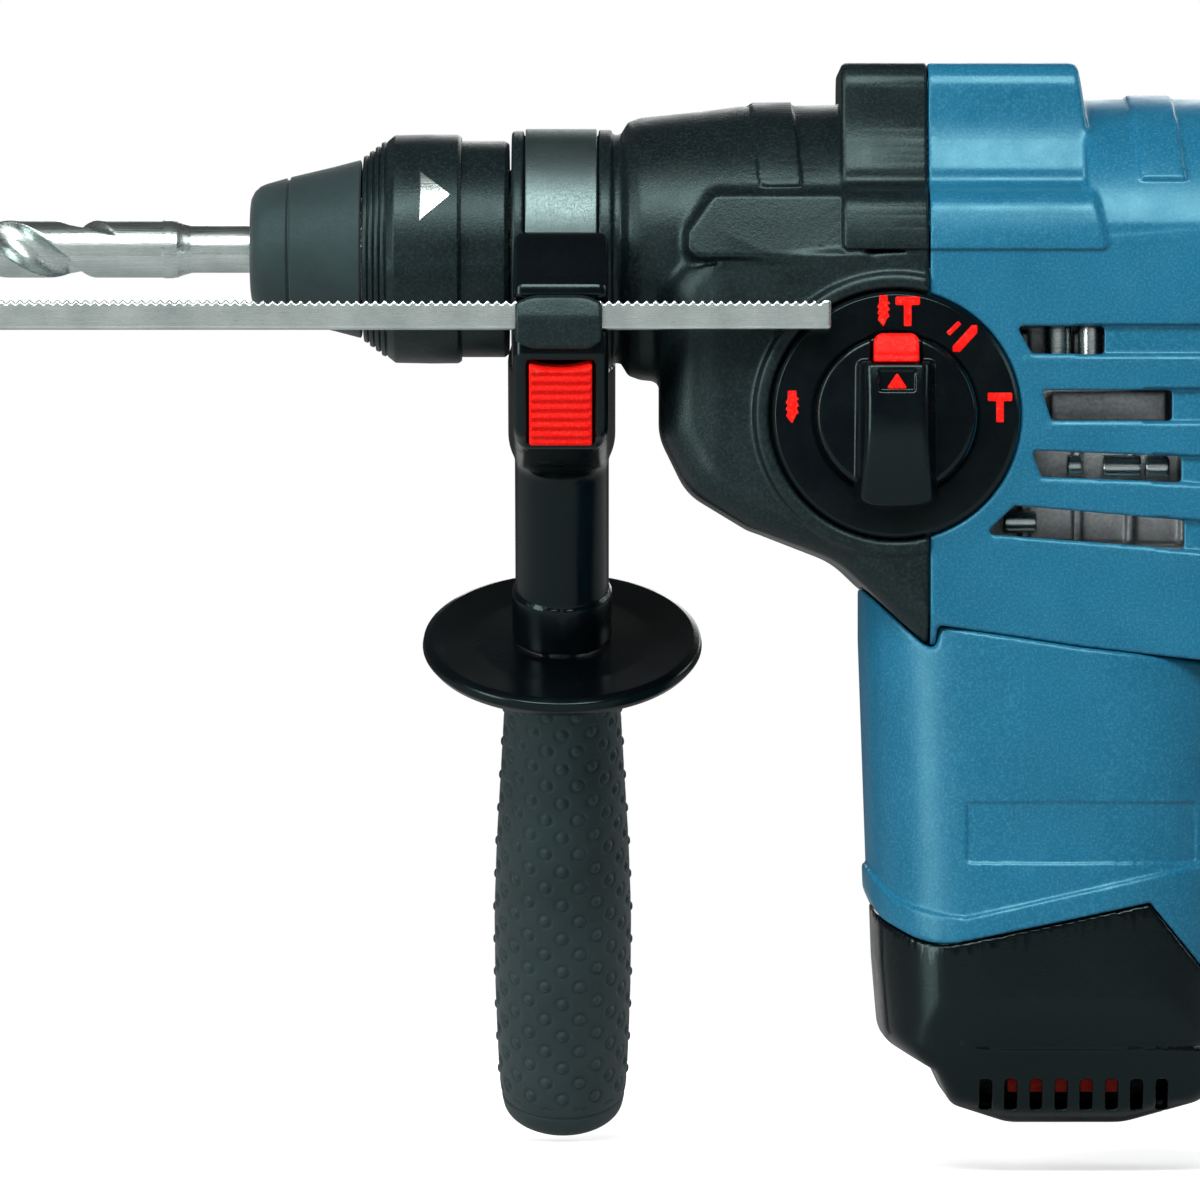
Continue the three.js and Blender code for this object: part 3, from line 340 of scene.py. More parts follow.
def raised_strip(b, form, x_range, bottom, lean):
    """A thin raised strip across the top of a form, its sides leaning with height."""
    shift = lean * (up(31) - b.z)
    sides = np.maximum(x_range[0] - (b.x - shift), (b.x - shift) - x_range[1])
    return meet(meet(form - 0.8, sides, 0.25), bottom - b.z, 0.25)


def outer_form(b):
    """Gearbox, hump, nose and rear body as one solid, before it is parted into shells."""
    low = meet(gearbox_low(b), b.z - crease_height(b), 0.3)
    nose = b.turned(rounded(NOSE_PROFILE, 5), "x", (0, 0, AXIS_Z))
    shoulder = meet(meet(gearbox_low(b), b.z - up(9), 3.0), np.abs(b.y) - 31.4, 2.0)
    front = join(join(nose, np.where(b.x < -40, shoulder, FAR), 2.0), low, 0.6)
    pads = side_view(b, [
        (-76.5, up(-3.2), 3), (-76.5, up(2.5), 3), (-71, up(10.3), 2.5), (-40, up(10.3)), (-40, up(-3.2)),
    ])
    pad_faces = np.abs(b.y) - 36.2 + 0.18 * (b.z - up(-2))  # lean inward with height
    front = join(front, meet(pads, np.maximum(10 - np.abs(b.y), pad_faces), 1.0), 2.4)
    front = join(front, raised_strip(b, nose, (-63.2, -54.4), up(12.2), 0.09), 0.1)
    crown = meet(rear_crown(b), crease_height(b) - 1.5 - b.z)
    crown = meet(crown, boxed(b, x=(6.3, BODY_REAR)), 0.6)
    strip = raised_strip(b, rear_crown(b), (15.7, 24.8), up(13.2), 0.09)
    crown = join(crown, meet(strip, boxed(b, x=(8, 30))), 0.1)
    form = join(front, join(hump(b), crown, 1.2), 0.5)
    rear = boxed(b, x=(-120, BODY_REAR), y=(-37.2, 37.2), z=(70, up(31.6)), r=4.0)
    return np.where(b.x < 20, form, meet(form, np.where(b.z < crease_height(b), rear, -FAR), 0.2))


def motor_seam(b):
    """Distance above the seam between the gearbox and the motor housing, seen from the side."""
    return side_view(b, [
        (-70, 0), (-70, 124), (-62, 122.6, 22), (-45.5, 116.2, 16), (-27.8, 99.4, 3), (-25.2, 98.2, 1.5),
        (-24.6, 103.1, 0.8), (5, 98.6, 30), (30, 95.8, 30), (60, 95.2), (60, 0),
    ])


def dial_hole(b, grow):
    return np.maximum(from_line(b, "y", (DIAL_X, DIAL_Z)) - DIAL_R - grow, b.y + 34.6)


def lip(depth, past, inset):
    """A tongue inside a wall that stands past the wall's edge, so that no light comes through the joint."""
    tongue = meet(between(depth, -inset - 1.2, -inset), between(past, -7, 2.5), 0.2)
    foot = np.maximum(between(depth, -inset - 1.2, -2.5), between(past, -7, -1.5))
    return np.minimum(tongue, foot)


def gear_housing():
    b = Block((NOSE_FRONT, -39.5, 86), (SPLIT_X, 39.5, HUMP_TOP))
    outer = outer_form(b)
    radius = from_line(b, "y", (DIAL_X, DIAL_Z))
    rim = meet(np.abs(radius - DIAL_R - 1.9) - 1.5, between(b.y, -38.1, -30), 0.9)
    outer = join(outer, rim, 1.2)
    bore = from_line(b, "x", (0, AXIS_Z)) - 20.3
    inner = join(outer + WALL, np.maximum(bore, b.x + 60), 1.0)
    inner = np.where(b.x < -84, bore, inner)
    shell = cut(outer, inner, 0.2)
    shell = cut(shell, dial_hole(b, 0.4), 0.4)
    shell = meet(shell, 0.15 - motor_seam(b), 0.5)
    return b, meet(shell, b.x - SPLIT_X, 0.35)


def body_shell(side):
    """The vented rear body on one side, with a bead under each vent and room for the fan inside."""
    ends = (-39.5, -SEAM) if side < 0 else (SEAM, 39.5)
    b = Block((SPLIT_X - 3, ends[0], 86), (BODY_REAR, ends[1], HUMP_TOP))
    outer = outer_form(b)
    shell = cut(outer, outer + WALL, 0.2)
    flank = np.abs(b.y)
    for corners in VENTS:
        (left, top), (right, high), (_, low), (_, bottom) = corners
        slope_top, slope_low = (high - top) / (right - left), (low - bottom) / (right - left)
        band = np.maximum(b.z - high - slope_top * (b.x - right), low + slope_low * (b.x - right) - b.z)
        band = meet(band - 0.3, right - 6 - b.x, 0.5)
        shell = cut(shell, np.maximum(band, 35.3 - flank), 0.5)
        bead = np.sqrt((b.z - low + 1.5 - slope_low * (b.x - right)) ** 2 + (flank - 36.1) ** 2) - 0.75
        bead = meet(bead, np.maximum(left + 1 - b.x, b.x - BODY_REAR + 1.5), 0.3)
        shell = join(shell, bead, 0.8)
        hole = side_view(b, [(*corner, 0.7) for corner in corners])
        shell = cut(shell, np.maximum(hole, 25 - flank), 0.35)
    if side < 0:
        shell = cut(shell, dial_hole(b, 0.4), 0.6)
    duct = boxed(b, x=(36, 60), y=(-10, 10), z=(up(-4), up(20)), r=1.0)
    shell = cut(shell, duct, 0.3)
    shell = meet(shell, SPLIT_X + 2 * SEAM - b.x, 0.35)
    shell = np.minimum(shell, lip(outer, SPLIT_X - b.x, 3.4))
    (fan_front, _, fan_low), (_, _, fan_high) = span("cooling_fan")
    fan_room = from_line(b, "z", (0, 0)) + fan_front - 0.9
    shell = cut(shell, np.maximum(fan_room, np.maximum(fan_low - 1.2 - b.z, b.z - fan_high - 1.2)))
    shell = meet(shell, 0.15 - motor_seam(b), 0.35)
    return b, halved(b, side, shell, 0.3)


def motor_plan(b, grow=0.0):
    """The motor housing seen from above: a rounded square, shorter towards the base."""
    half_x, half_y, power = 40.3 + grow + 0.035 * np.minimum(b.z - 100, 0), 38.0 + grow, 3.0
    across = (np.abs(b.x / half_x) ** power + np.abs(b.y / half_y) ** power) ** (1 / power)
    return (across - 1) * 38 * (1 - 0.12 * np.abs(b.x * b.y) / 1500)


def ridge_height(b):
    """Height of the ledge above the base, at each place along the tool."""
    places = (-42, -38.8, -36.5, -34, -30, -25, -19.1, 31.5, 42)
    return np.interp(b.x, places, (57, 52.6, 49.4, 47, 44.9, 43.5, 42.8, 54.2, 56.5)).astype(np.float32)


def base_border(b, drop=0.0):
    """Distance to everything above the border between the motor housing and the base."""
    return -side_view(b, [
        (-60, 62 - drop), (-40.5, 50.5 - drop, 3), (-36.5, 42.4 - drop, 7), (-26, 36.6 - drop, 16),
        (18.9, 46 - drop, 0.8), (31.5, 30.5 - drop, 2), (60, 27.5 - drop), (60, -20), (-60, -20),
    ])


def motor_housing():
    b = Block((-42, -39.5, 26), (42, 39.5, 125))
    plan = motor_plan(b)
    pot = join(plan, meet(motor_plan(b, 0.8), (b.z - ridge_height(b)) * 0.75, 0.5), 0.6)
    shell = cut(pot, plan + WALL, 0.2)
    shell = meet(shell, motor_seam(b), 0.9)
    shell = meet(shell, base_border(b), 0.3)
    label = meet(boxed(b, x=(-18.7, 28.4), z=(54.2, 66.7), r=0.6), np.maximum(-0.45 - plan, b.y))
    shell = cut(shell, label, 0.25)
    return b, np.minimum(shell, lip(plan, motor_seam(b), 4.3))


BASE_SLOT = {"count": 8, "first": -16.0, "pitch": 5.2, "width": 2.4, "low": 3.0, "high": 9.4}


def base_cap():
    b = Block((-41.5, -41, 0), (58, 41, 58))
    side = side_view(b, [
        (-39.2, 70), (-38.0, 34, 10), (-36.2, 17.4, 6), (-25.2, 11.0, 1.5), (-22.0, 4.0, 4), (-10, 0, 12),
        (14, 0, 14), (31.5, 5.2, 14), (41.5, 16, 10), (42, 70),
    ])
    front = front_view(b, mirrored([(-40, 70), (-38.6, 24, 14), (-31, 3, 12), (-20, -8)]))
    form = meet(meet(side, motor_plan(b, 0.9), 3.0), front, 4.0)
    shell = cut(form, form + WALL, 0.5)
    shell = meet(shell, -base_border(b, 0.3), 0.3)
    shell = np.minimum(shell, lip(motor_plan(b), -base_border(b), 3.4))
    slots = (b.x - BASE_SLOT["first"]) / BASE_SLOT["pitch"]
    nearest = np.clip(np.round(slots - 0.23), 0, BASE_SLOT["count"] - 1)
    centre = BASE_SLOT["first"] + BASE_SLOT["width"] / 2 + nearest * BASE_SLOT["pitch"]
    across = np.abs(b.x - centre) - BASE_SLOT["width"] / 2
    slot = meet(meet(across, between(b.z, BASE_SLOT["low"], BASE_SLOT["high"]), 0.5), 24 - np.abs(b.y))
    shell = cut(shell, slot, 0.3)
    shell = np.minimum(shell, np.maximum(boxed(b, x=(-18, 26), y=(-1, 1), z=(1.5, 12.4)), form + 1))
    line = meet(np.abs(b.z - 16.3) - 0.4, np.maximum(-17.5 - b.x, -0.45 - form))
    shell = cut(shell, line, 0.2)
    pivot = from_line(b, "y", HANDLE_PIVOT)
    lug = meet(boxed(b, x=(36, 52), z=(22.5, 33.5)), between(b.y, -8, 8), 1.0)
    eye = meet(pivot - 5.5, between(b.y, -8, 8), 0.8)
    shell = join(shell, cut(join(lug, eye, 0.5), form + 1.5), 0.8)
    return b, cut(shell, pivot - 3.3, 0.3)


def bearing_bracket():
    """The casting between motor and gearbox, whose side walls show through the vents."""
    low, high = span("bearing_bracket")
    b = Block(low, high, 0.6)
    gear_x, counter_x = middle("crank_gear")[0], middle("counter_shaft")[0]
    wall = meet(boxed(b, x=(-16, 30), z=(114, 166), r=3.0), between(np.abs(b.y), 22.0, 24.5), 0.5)
    ribs = meet(np.abs((b.x + 1) % 11 - 5.5) - 0.9, boxed(b, x=(-14, 29), z=(118, 164)))
    ribs = meet(ribs, between(np.abs(b.y), 23, 26.0), 0.4)
    form = join(boxed(b, x=(-22, 30), y=(-30, 30), z=(112, 120), r=2.0), wall, 1.5)
    bars = meet(boxed(b, x=(-1.5, 23), z=(145.2, 151.6), r=0.5), between(np.abs(b.y), 23, 28.6), 0.4)
    for part in (
        ribs, bars, round_bar(b, "z", (0, 0), 17, (105.5, 120)),
        round_bar(b, "z", (gear_x, 0), 10, (112, 130)), round_bar(b, "z", (counter_x, 0), 8, (128, 134)),
        boxed(b, x=(counter_x, -24), y=(-5, 5), z=(128, 133), r=0.8),
    ):
        form = join(form, part, 0.8)
    for hole in (
        round_bar(b, "z", (0, 0), 13.4, (100, 114.3)), round_bar(b, "z", (0, 0), 8, (100, 125)),
        round_bar(b, "z", (gear_x, 0), 5.4, (110, 134)), round_bar(b, "z", (counter_x, 0), 5.4, (126, 136)),
        boxed(b, x=(gear_x - 21, gear_x + 21), y=(-20.8, 20.8), z=(136, 170)),
    ):
        form = cut(form, hole, 0.3)
    return b, form


PINS = (  # axis, ends, radius and place across, of the dowels, clips and screws behind the vents
    ("z", (157, 165.6), 2.9, 0.2), ("z", (157, 165.6), 2.9, 7.4), ("x", (9.5, 17.6), 2.8, 135.9),
    ("x", (18.4, 23.4), 2.8, 135.9), ("x", (2.2, 5.4), 2.6, 136.2), ("x", (-11.0, -4.0), 2.4, 124.6),
)


def bracket_pins():
    b = Block((-16, -30, 118), (30, 30, 166), 0.4)
    form = FAR
    for axis, ends, radius, at in PINS:
        along, other = (b.z, b.x) if axis == "z" else (b.x, b.z)
        away = np.sqrt((np.abs(b.y) - 26.6) ** 2 + (other - at) ** 2)
        form = np.minimum(form, meet(away - radius, between(along, *ends), 0.5))
    return b, form


# ---- Rear handle ----
def rear_handle_form(b):
    side = side_view(b, [
        (58, 211, 5), (116, 208, 26), (158, 196, 24), (163, 150, 40), (157, 70, 40), (148, 26, 16),
        (122, 14, 12), (50, 12, 5), (47.5, 20, 3), (47.5, 42, 4), (100, 46, 16), (120, 62, 18),
        (129, 120, 60), (126, 168, 22), (104, 178, 14), (58, 178, 4),
    ])
    return meet(side, np.abs(b.y) - 17.0, 7.5)


def soft_region(b, grow=0.0):
    """The part of the rear handle that is covered with rubber."""
    return side_view(b, [
        (149 - grow, 58 - grow, 8), (146.5 - grow, 120, 60), (151 - grow, 170 + grow, 8), (190, 176 + grow),
        (190, 52 - grow),
    ])


def rear_handle(side):
    ends = (-17.2, -SEAM) if side < 0 else (SEAM, 17.2)
    b = Block((47, ends[0], 11), (165, ends[1], 212))
    form = rear_handle_form(b)
    shell = cut(form, soft_region(b, 0.3), 0.5)
    for hollow in (
        boxed(b, x=(110, 150), y=(-8.4, 8.4), z=(113.6, 154.4), r=0.5),
        boxed(b, x=(132, 149.2), y=(-10.3, 10.3), z=(99.7, 166.3)),
        boxed(b, x=(30, 59), y=(-8.7, 8.7), z=(21, 35)),
        boxed(b, x=(30, 64), y=(-8, 8), z=(up(-1), up(17))),
        np.maximum(from_line(b, "y", HANDLE_PIVOT) - 3.3, np.abs(b.y) - 14.3),
        np.maximum(from_line(b, "z", (128, 0)) - 7.3, b.z - 22),
        np.maximum(from_line(b, "y", (143, 106)) - 5.3, b.y + 10),
        boxed(b, x=(127.5, 134.5), z=(157.5, 163.5)),
    ):
        shell = cut(shell, hollow, 0.35)
    panel = meet(side_view(b, [
        (66, 203.5, 4), (112, 201, 20), (140, 193, 14), (134, 184, 8), (104, 186, 20), (66, 186, 4),
    ]), 16.4 - np.abs(b.y))
    shell = cut(shell, panel, 0.4)
    return b, halved(b, side, shell, 0.4)


def soft_grip():
    b = Block((145, -17.5, 50), (164, 17.5, 178))
    form = rear_handle_form(b)
    grip = meet(form, soft_region(b), 0.8)
    row = b.z / 5.2
    turn = np.arctan2(b.y, b.x - 145.5) * 13 / 4.4
    lattice = np.cos(math.pi * row) * np.cos(math.pi * turn)
    nubs = np.clip(np.abs(lattice) - 0.72, 0, 1) * 1.6
    return b, grip - np.where((b.z > 64) & (b.z < 166), nubs, 0) + 0.2


# ---- Side handle and selector ----
def in_handle(b):
    """Height and depth of each cell in the side handle's own, tilted frame."""
    depth = b.y * math.cos(TILT) + (b.z - AXIS_Z) * math.sin(TILT)
    height = -b.y * math.sin(TILT) + (b.z - AXIS_Z) * math.cos(TILT)
    return depth, height


def handle_head():
    b = Block((-113.5, -46, 98), (-91.5, 58, AXIS_Z + 3), 0.5)
    depth, height = in_handle(b)
    across = b.x - COLLAR_X
    saddle = front_view(b, [
        (-20, up(2.4)), (-33, up(2.4), 5), (-45, up(-9), 2), (-45, up(-23.6), 1.5), (-37.5, up(-40.5), 4),
        (12, up(-46), 8), (30, up(-34.2), 8), (33, up(-12), 10), (26, up(-3), 3), (0, up(0)),
    ])
    saddle = meet(saddle, np.abs(across) - 9.8, 2.2)
    radius = np.sqrt(across**2 + depth**2)
    stem = meet(radius - 10.0, between(-height, 20, 85), 0.5)
    foot = meet(radius - 10.7, between(-height, 80.5, 91.8), 0.5)
    stem = join(stem, foot, 0.3)
    block = meet(meet(np.abs(across) - 9.0, between(-height, 0, 23), 3.0), between(depth, -50.6, 10), 3.0)
    head = join(join(saddle, stem, 5.0), meet(block, saddle - 3.0, 2.0), 1.2)
    head = cut(head, from_line(b, "x", (0, AXIS_Z)) - 25.6, 0.4)
    rod = boxed(b, x=(-200, 0), y=(-60, -38.5), z=(up(-18.5), up(-11.6)), r=0.6)
    well = meet(meet(np.abs(across) - 6.95, between(-height, 0.9, 20.4), 0.7), depth + 44.4)
    bolt = np.maximum(radius - 4.4, between(-height, 8, 120))
    for hollow in (rod, well, bolt):
        head = cut(head, hollow, 0.5)
    return b, head


def head_cap():
    b = Block((-112.6, -49, up(-23.2)), (-93, -44.8, up(-10)), min(PITCH, 0.4))
    section = front_view(b, [
        (-45.2, up(-22.4), 0.4), (-47.6, up(-22.2), 1.2), (-48.5, up(-16), 6), (-47.4, up(-11.2), 1.6),
        (-45.2, up(-10.4), 0.4),
    ])
    face = side_view(b, [
        (-112, up(-12.6), 1.6), (-111.9, up(-20.6), 1), (-108, up(-22.6), 3), (-97, up(-22.6), 3),
        (-94.1, up(-20.6), 1), (-94, up(-12.6), 1.6), (-98, up(-11), 8), (-108, up(-11), 8),
    ])
    return b, meet(section, face, 0.8)


def rod_button():
    """Made in the side handle's own frame, like the grip."""
    b = Block((-7, -53, -20.4), (7, -47, -0.8), min(PITCH, 0.3))
    bowed = -1.4 - 1.3 * (1 - (b.x / 6.6) ** 2)
    body = meet(np.abs(b.x) - 6.6, between(b.y, -52.2, -48), 0.5)
    body = meet(body, np.maximum(b.z - bowed, -20 - b.z), 0.5)
    ribs = 0.28 * np.sin(2 * math.pi * b.z / 2.1)
    inner = np.clip((6.2 - np.abs(b.x)) / 0.5, 0, 1) * np.clip((b.z + 19) / 0.8, 0, 1)
    return b, body + ribs * inner * np.clip((-51 - b.y) / 0.5, 0, 1) + 0.1


def selector_knob():
    b = Block((DIAL_X - 17, -50, DIAL_Z - 20), (DIAL_X + 17, -35.4, DIAL_Z + 17), min(PITCH, 0.3))
    u, v = b.x - DIAL_X, b.z - DIAL_Z
    radius = np.sqrt(u**2 + v**2)
    disc = meet(radius - 16.4, between(b.y, -41.6, -35.7), 1.0)
    slope = np.clip((b.y + 49.5) / 8, 0, 1.2) * 2.0
    corners = rounded([(-6.3, -19.3, 3), (6.3, -19.3, 3), (6.0, 10.9, 1.5), (-6.0, 10.9, 1.5)])
    bar = outline_distance(u, v, corners) - slope
    bar = meet(bar, between(b.y, -49.4 + 0.012 * v**2, -38), 1.4)
    bar = meet(bar, np.maximum(v - 10.9, -19.3 - v), 0.8)
    knob = join(disc, meet(bar, radius - 19.4, 0.8), 0.8)
    seat = boxed(b, x=(DIAL_X - 5.2, DIAL_X + 5.2), y=(-60, -38.2), z=(DIAL_Z + 10.2, DIAL_Z + 20))
    dip = meet(meet(np.abs(u) - 3.7, between(v, 4.6, 8.9), 0.5), b.y + 48.3)
    return b, cut(cut(knob, seat, 0.3), dip, 0.2)


def selector_button():
    b = Block((DIAL_X - 5.4, -47.5, DIAL_Z + 9.6), (DIAL_X + 5.4, -40, DIAL_Z + 17.4), min(PITCH, 0.3))
    u, v = b.x - DIAL_X, b.z - DIAL_Z
    corners = rounded([(-4.7, 10.5, 0.4), (4.7, 10.5, 0.4), (4.6, 16.6, 1.8), (-4.6, 16.6, 1.8)])
    face = outline_distance(u, v, corners)
    front = -46.6 + 0.35 * (v - 12.4) + 0.32 * np.clip((12.6 - v) / 0.5, 0, 1)
    return b, meet(face, np.maximum(front - b.y, b.y + 40.6), 0.7)


def trigger():
    b = Block((115, -8.2, 113), (132, 8.2, 155), min(PITCH, 0.4))
    side = side_view(b, [
        (116, 153, 4), (119.8, 134, 40), (117, 115, 3), (128, 115, 2), (131, 122, 3), (131, 146, 3),
        (128, 153, 3),
    ])
    return b, meet(side, np.abs(b.y) - 8.0, 2.6)


def bellows():
    b = Block((45.9, -13.2, up(-2.4)), (58.1, 13.2, up(28.4)), min(PITCH, 0.4))
    fold = 0.75 * np.cos(2 * math.pi * (b.x - 46.3) / 2.85)
    outer = meet(between(b.z, up(0), up(26)), np.abs(b.y) - 11.2, 4.0) - 1.0 + fold
    body = meet(outer, between(b.x, 46.3, 57.7), 0.3)
    return b, cut(body, meet(between(b.z, up(3), up(23)), np.abs(b.y) - 8.2, 3.0))


# ---- Meshes ----
def new_mesh(name, points, faces, matrix=None):
    """A smooth-shaded object from points in millimetres."""
    mesh = bpy.data.meshes.new(name)
    points = np.asarray(points, np.float32)
    faces = np.asarray(faces, np.int32)
    corners = faces.shape[1]
    mesh.vertices.add(len(points))
    mesh.vertices.foreach_set("co", (points * MM).ravel())
    mesh.loops.add(faces.size)
    mesh.loops.foreach_set("vertex_index", faces.ravel())
    mesh.polygons.add(len(faces))
    mesh.polygons.foreach_set("loop_start", np.arange(0, faces.size, corners, dtype=np.int32))
    mesh.polygons.foreach_set("loop_total", np.full(len(faces), corners, np.int32))
    mesh.update(calc_edges=True)
    mesh.validate()
    mesh.shade_smooth()
    piece = bpy.data.objects.new(name, mesh)
    bpy.context.scene.collection.objects.link(piece)
    if matrix is not None:
        mesh.transform(matrix)
    return piece


def thinned(piece, share):
    """The piece with its flat stretches cut into fewer faces."""
    if share >= 1:
        return piece
    modifier = piece.modifiers.new("thin", "DECIMATE")
    modifier.ratio = share
    graph = bpy.context.evaluated_depsgraph_get()
    thin = bpy.data.meshes.new_from_object(piece.evaluated_get(graph))
    piece.modifiers.clear()
    piece.data = thin
    thin.shade_smooth()
    return piece


def grid_faces(rows, segments):
    """Quads of a grid that closes on itself both ways."""
    i, j = np.meshgrid(np.arange(rows), np.arange(segments), indexing="ij")
    after, beside = (i + 1) % rows, (j + 1) % segments
    here, there = i * segments, after * segments
    return np.stack([here + j, there + j, there + beside, here + beside], -1).reshape(-1, 4)


def swept(profile, segments):
    """Points and quads of a closed profile of (station, radius) turned about X."""
    profile = np.asarray(profile, float)
    angles = np.linspace(0, 2 * math.pi, segments, endpoint=False)
    ring = np.stack([np.zeros_like(angles), np.cos(angles), np.sin(angles)], 1)
    points = (profile[:, None, :1] * np.array([1, 0, 0]) + profile[:, None, 1:] * ring).reshape(-1, 3)
    return points, grid_faces(len(profile), segments)


# ---- Finishes ----
def linear(red, green, blue):
    """A display colour, 0 to 255, as scene-linear values."""
    values = (np.array([red, green, blue]) / 255.0).tolist()
    return tuple(v / 12.92 if v <= 0.04045 else ((v + 0.055) / 1.055) ** 2.4 for v in values) + (1.0,)


class Finish:
    """A procedural material, built node by node round one Principled shader."""

    def __init__(self, name, **sockets):
        self.material = bpy.data.materials.new(name)
        self.material.use_nodes = True
        self.tree = self.material.node_tree
        self.shader = self.tree.nodes["Principled BSDF"]
        for socket, value in sockets.items():
            self.shader.inputs[socket.replace("_", " ")].default_value = value
        self.place = self.node("ShaderNodeTexCoord").outputs["Object"]

    def node(self, kind, **settings):
        made = self.tree.nodes.new(kind)
        for key, value in settings.items():
            setattr(made, key, value)
        return made

    def link(self, source, target):
        self.tree.links.new(source, target)

    def stretched(self, x, y, z):
        """Object coordinates in units of the given sizes, in millimetres."""
        mapping = self.node("ShaderNodeMapping")
        mapping.inputs["Scale"].default_value = (1 / (x * MM), 1 / (y * MM), 1 / (z * MM))
        self.link(self.place, mapping.inputs["Vector"])
        return mapping.outputs["Vector"]

    def noise(self, size, detail=2.0, rough=0.5, vector=None):
        """Noise with features of the given size in millimetres, or of size 1 in given coordinates."""
        made = self.node("ShaderNodeTexNoise")
        made.inputs["Scale"].default_value = 1.0 if vector else 1 / (size * MM)
        made.inputs["Detail"].default_value = detail
        made.inputs["Roughness"].default_value = rough
        self.link(vector or self.place, made.inputs["Vector"])
        return made.outputs["Fac"]

    def ranged(self, value, low, high, start=0.35, stop=0.65):
        """The value carried from start..stop to low..high."""
        made = self.node("ShaderNodeMapRange")
        for socket, number in zip(("From Min", "From Max", "To Min", "To Max"), (start, stop, low, high)):
            made.inputs[socket].default_value = number
        self.link(value, made.inputs["Value"])
        return made.outputs["Result"]

    def mixed(self, share, first, second):
        """A colour between two, each a colour or a socket."""
        made = self.node("ShaderNodeMix", data_type="RGBA")
        self.link(share, made.inputs["Factor"])
        for socket, colour in ((made.inputs["A"], first), (made.inputs["B"], second)):
            if isinstance(colour, tuple):
                socket.default_value = colour
            else:
                self.link(colour, socket)
        return made.outputs["Result"]

    def edges(self):
        """Where the surface turns outward sharply, as on worn edges."""
        return self.ranged(self.node("ShaderNodeNewGeometry").outputs["Pointiness"], 0, 1, 0.56, 0.68)

    def grain(self, *layers):
        """Bumps stacked from (height socket, depth in millimetres)."""
        normal = None
        for height, depth in layers:
            made = self.node("ShaderNodeBump")
            made.inputs["Distance"].default_value = depth * MM
            self.link(height, made.inputs["Height"])
            if normal is not None:
                self.link(normal, made.inputs["Normal"])
            normal = made.outputs["Normal"]
        self.link(normal, self.shader.inputs["Normal"])

    def painted(self, colour, roughness):
        self.link(colour, self.shader.inputs["Base Color"])
        self.link(roughness, self.shader.inputs["Roughness"])
        return self.material


COOL = (0.68, 1.0, 0.97, 1.0)  # the green-blue cast of light on the black plastics
CLEAR_BLUE = (0.45, 0.95, 1, 1)  # the same on the blue plastic


def moulded(name, colours, rough, grain_size, grain_depth, gloss=0.5, tint=(1, 1, 1, 1), speck=0.35):
    """Moulded plastic in three colours: fine spark-eroded grain, faint clouding, paler handled edges."""
    colour, light, worn = (linear(*shown) for shown in colours)
    made = Finish(name, Specular_IOR_Level=gloss, Specular_Tint=tint)
    clouds = made.noise(26, 3, 0.55)
    grain = made.noise(grain_size, 2, 0.6)
    fine = made.noise(grain_size * 0.38, 1, 0.5)
    base = made.mixed(made.ranged(clouds, 0, 1, 0.3, 0.7), colour, light)
    flecked = made.mixed(made.ranged(grain, 0, speck, 0.45, 0.75), base, worn)
    edge_noise = made.noise(2.2, 4, 0.7)
    edge = made.node("ShaderNodeMath", operation="MULTIPLY")
    made.link(made.edges(), edge.inputs[0])
    made.link(made.ranged(edge_noise, 0.15, 0.9, 0.35, 0.6), edge.inputs[1])
    final = made.mixed(edge.outputs[0], flecked, worn)
    made.grain((grain, grain_depth), (fine, grain_depth * 0.5))
    return made.painted(final, made.ranged(made.noise(9, 4, 0.6), rough - 0.06, rough + 0.07, 0.3, 0.7))


def rubber(name, *colours):
    """Soft grip rubber, dull and slightly dusty."""
    colour, light = (linear(*shown) for shown in colours)
    made = Finish(name, Specular_IOR_Level=0.38, Specular_Tint=COOL, Sheen_Weight=0.12, Sheen_Roughness=0.5)
    grain = made.noise(0.5, 3, 0.65)
    base = made.mixed(made.ranged(made.noise(18, 4, 0.6), 0, 1, 0.3, 0.7), colour, light)
    dust = made.mixed(made.ranged(made.noise(3.1, 5, 0.7), 0, 0.5, 0.5, 0.8), base, light)
    made.grain((grain, 0.05))
    return made.painted(dust, made.ranged(grain, 0.52, 0.7, 0.3, 0.7))


def metal(name, colours, rough, brush, scratch=0.02):
    """Metal, brushed along the axis whose size is the largest."""
    colour, dark = (linear(*shown) for shown in colours)
    made = Finish(name, Metallic=1.0)
    lines = made.noise(1, 4, 0.7, made.stretched(*brush))
    stain = made.noise(11, 4, 0.6)
    base = made.mixed(made.ranged(stain, 0, 0.55, 0.35, 0.75), colour, dark)
    worked = made.mixed(made.ranged(lines, 0, 0.5, 0.4, 0.8), base, dark)
    made.grain((lines, scratch))
    return made.painted(worked, made.ranged(lines, rough - 0.07, rough + 0.1, 0.3, 0.7))


def windings(name):
    """Enamelled copper wire laid side by side."""
    made = Finish(name, Metallic=0.85, Coat_Weight=0.6, Coat_Roughness=0.15)
    wires = made.node("ShaderNodeTexWave", wave_type="RINGS", rings_direction="Z")
    wires.inputs["Scale"].default_value = 1 / (5.4 * MM)  # rings about 1.7 mm apart
    made.link(made.place, wires.inputs["Vector"])
    colour = made.mixed(wires.outputs["Fac"], linear(96, 42, 18), linear(196, 108, 56))
    made.grain((wires.outputs["Fac"], 0.3))
    return made.painted(colour, made.ranged(made.noise(2), 0.25, 0.45))


def laminated(name):
    """Stacked core sheets seen edge on."""
    made = Finish(name, Metallic=0.9)
    sheets = made.noise(1, 2, 0.5, made.stretched(30, 30, 0.5))
    colour = made.mixed(made.ranged(sheets, 0, 1), linear(58, 61, 64), linear(122, 126, 128))
    made.grain((sheets, 0.12))
    return made.painted(colour, made.ranged(made.noise(3), 0.4, 0.65))


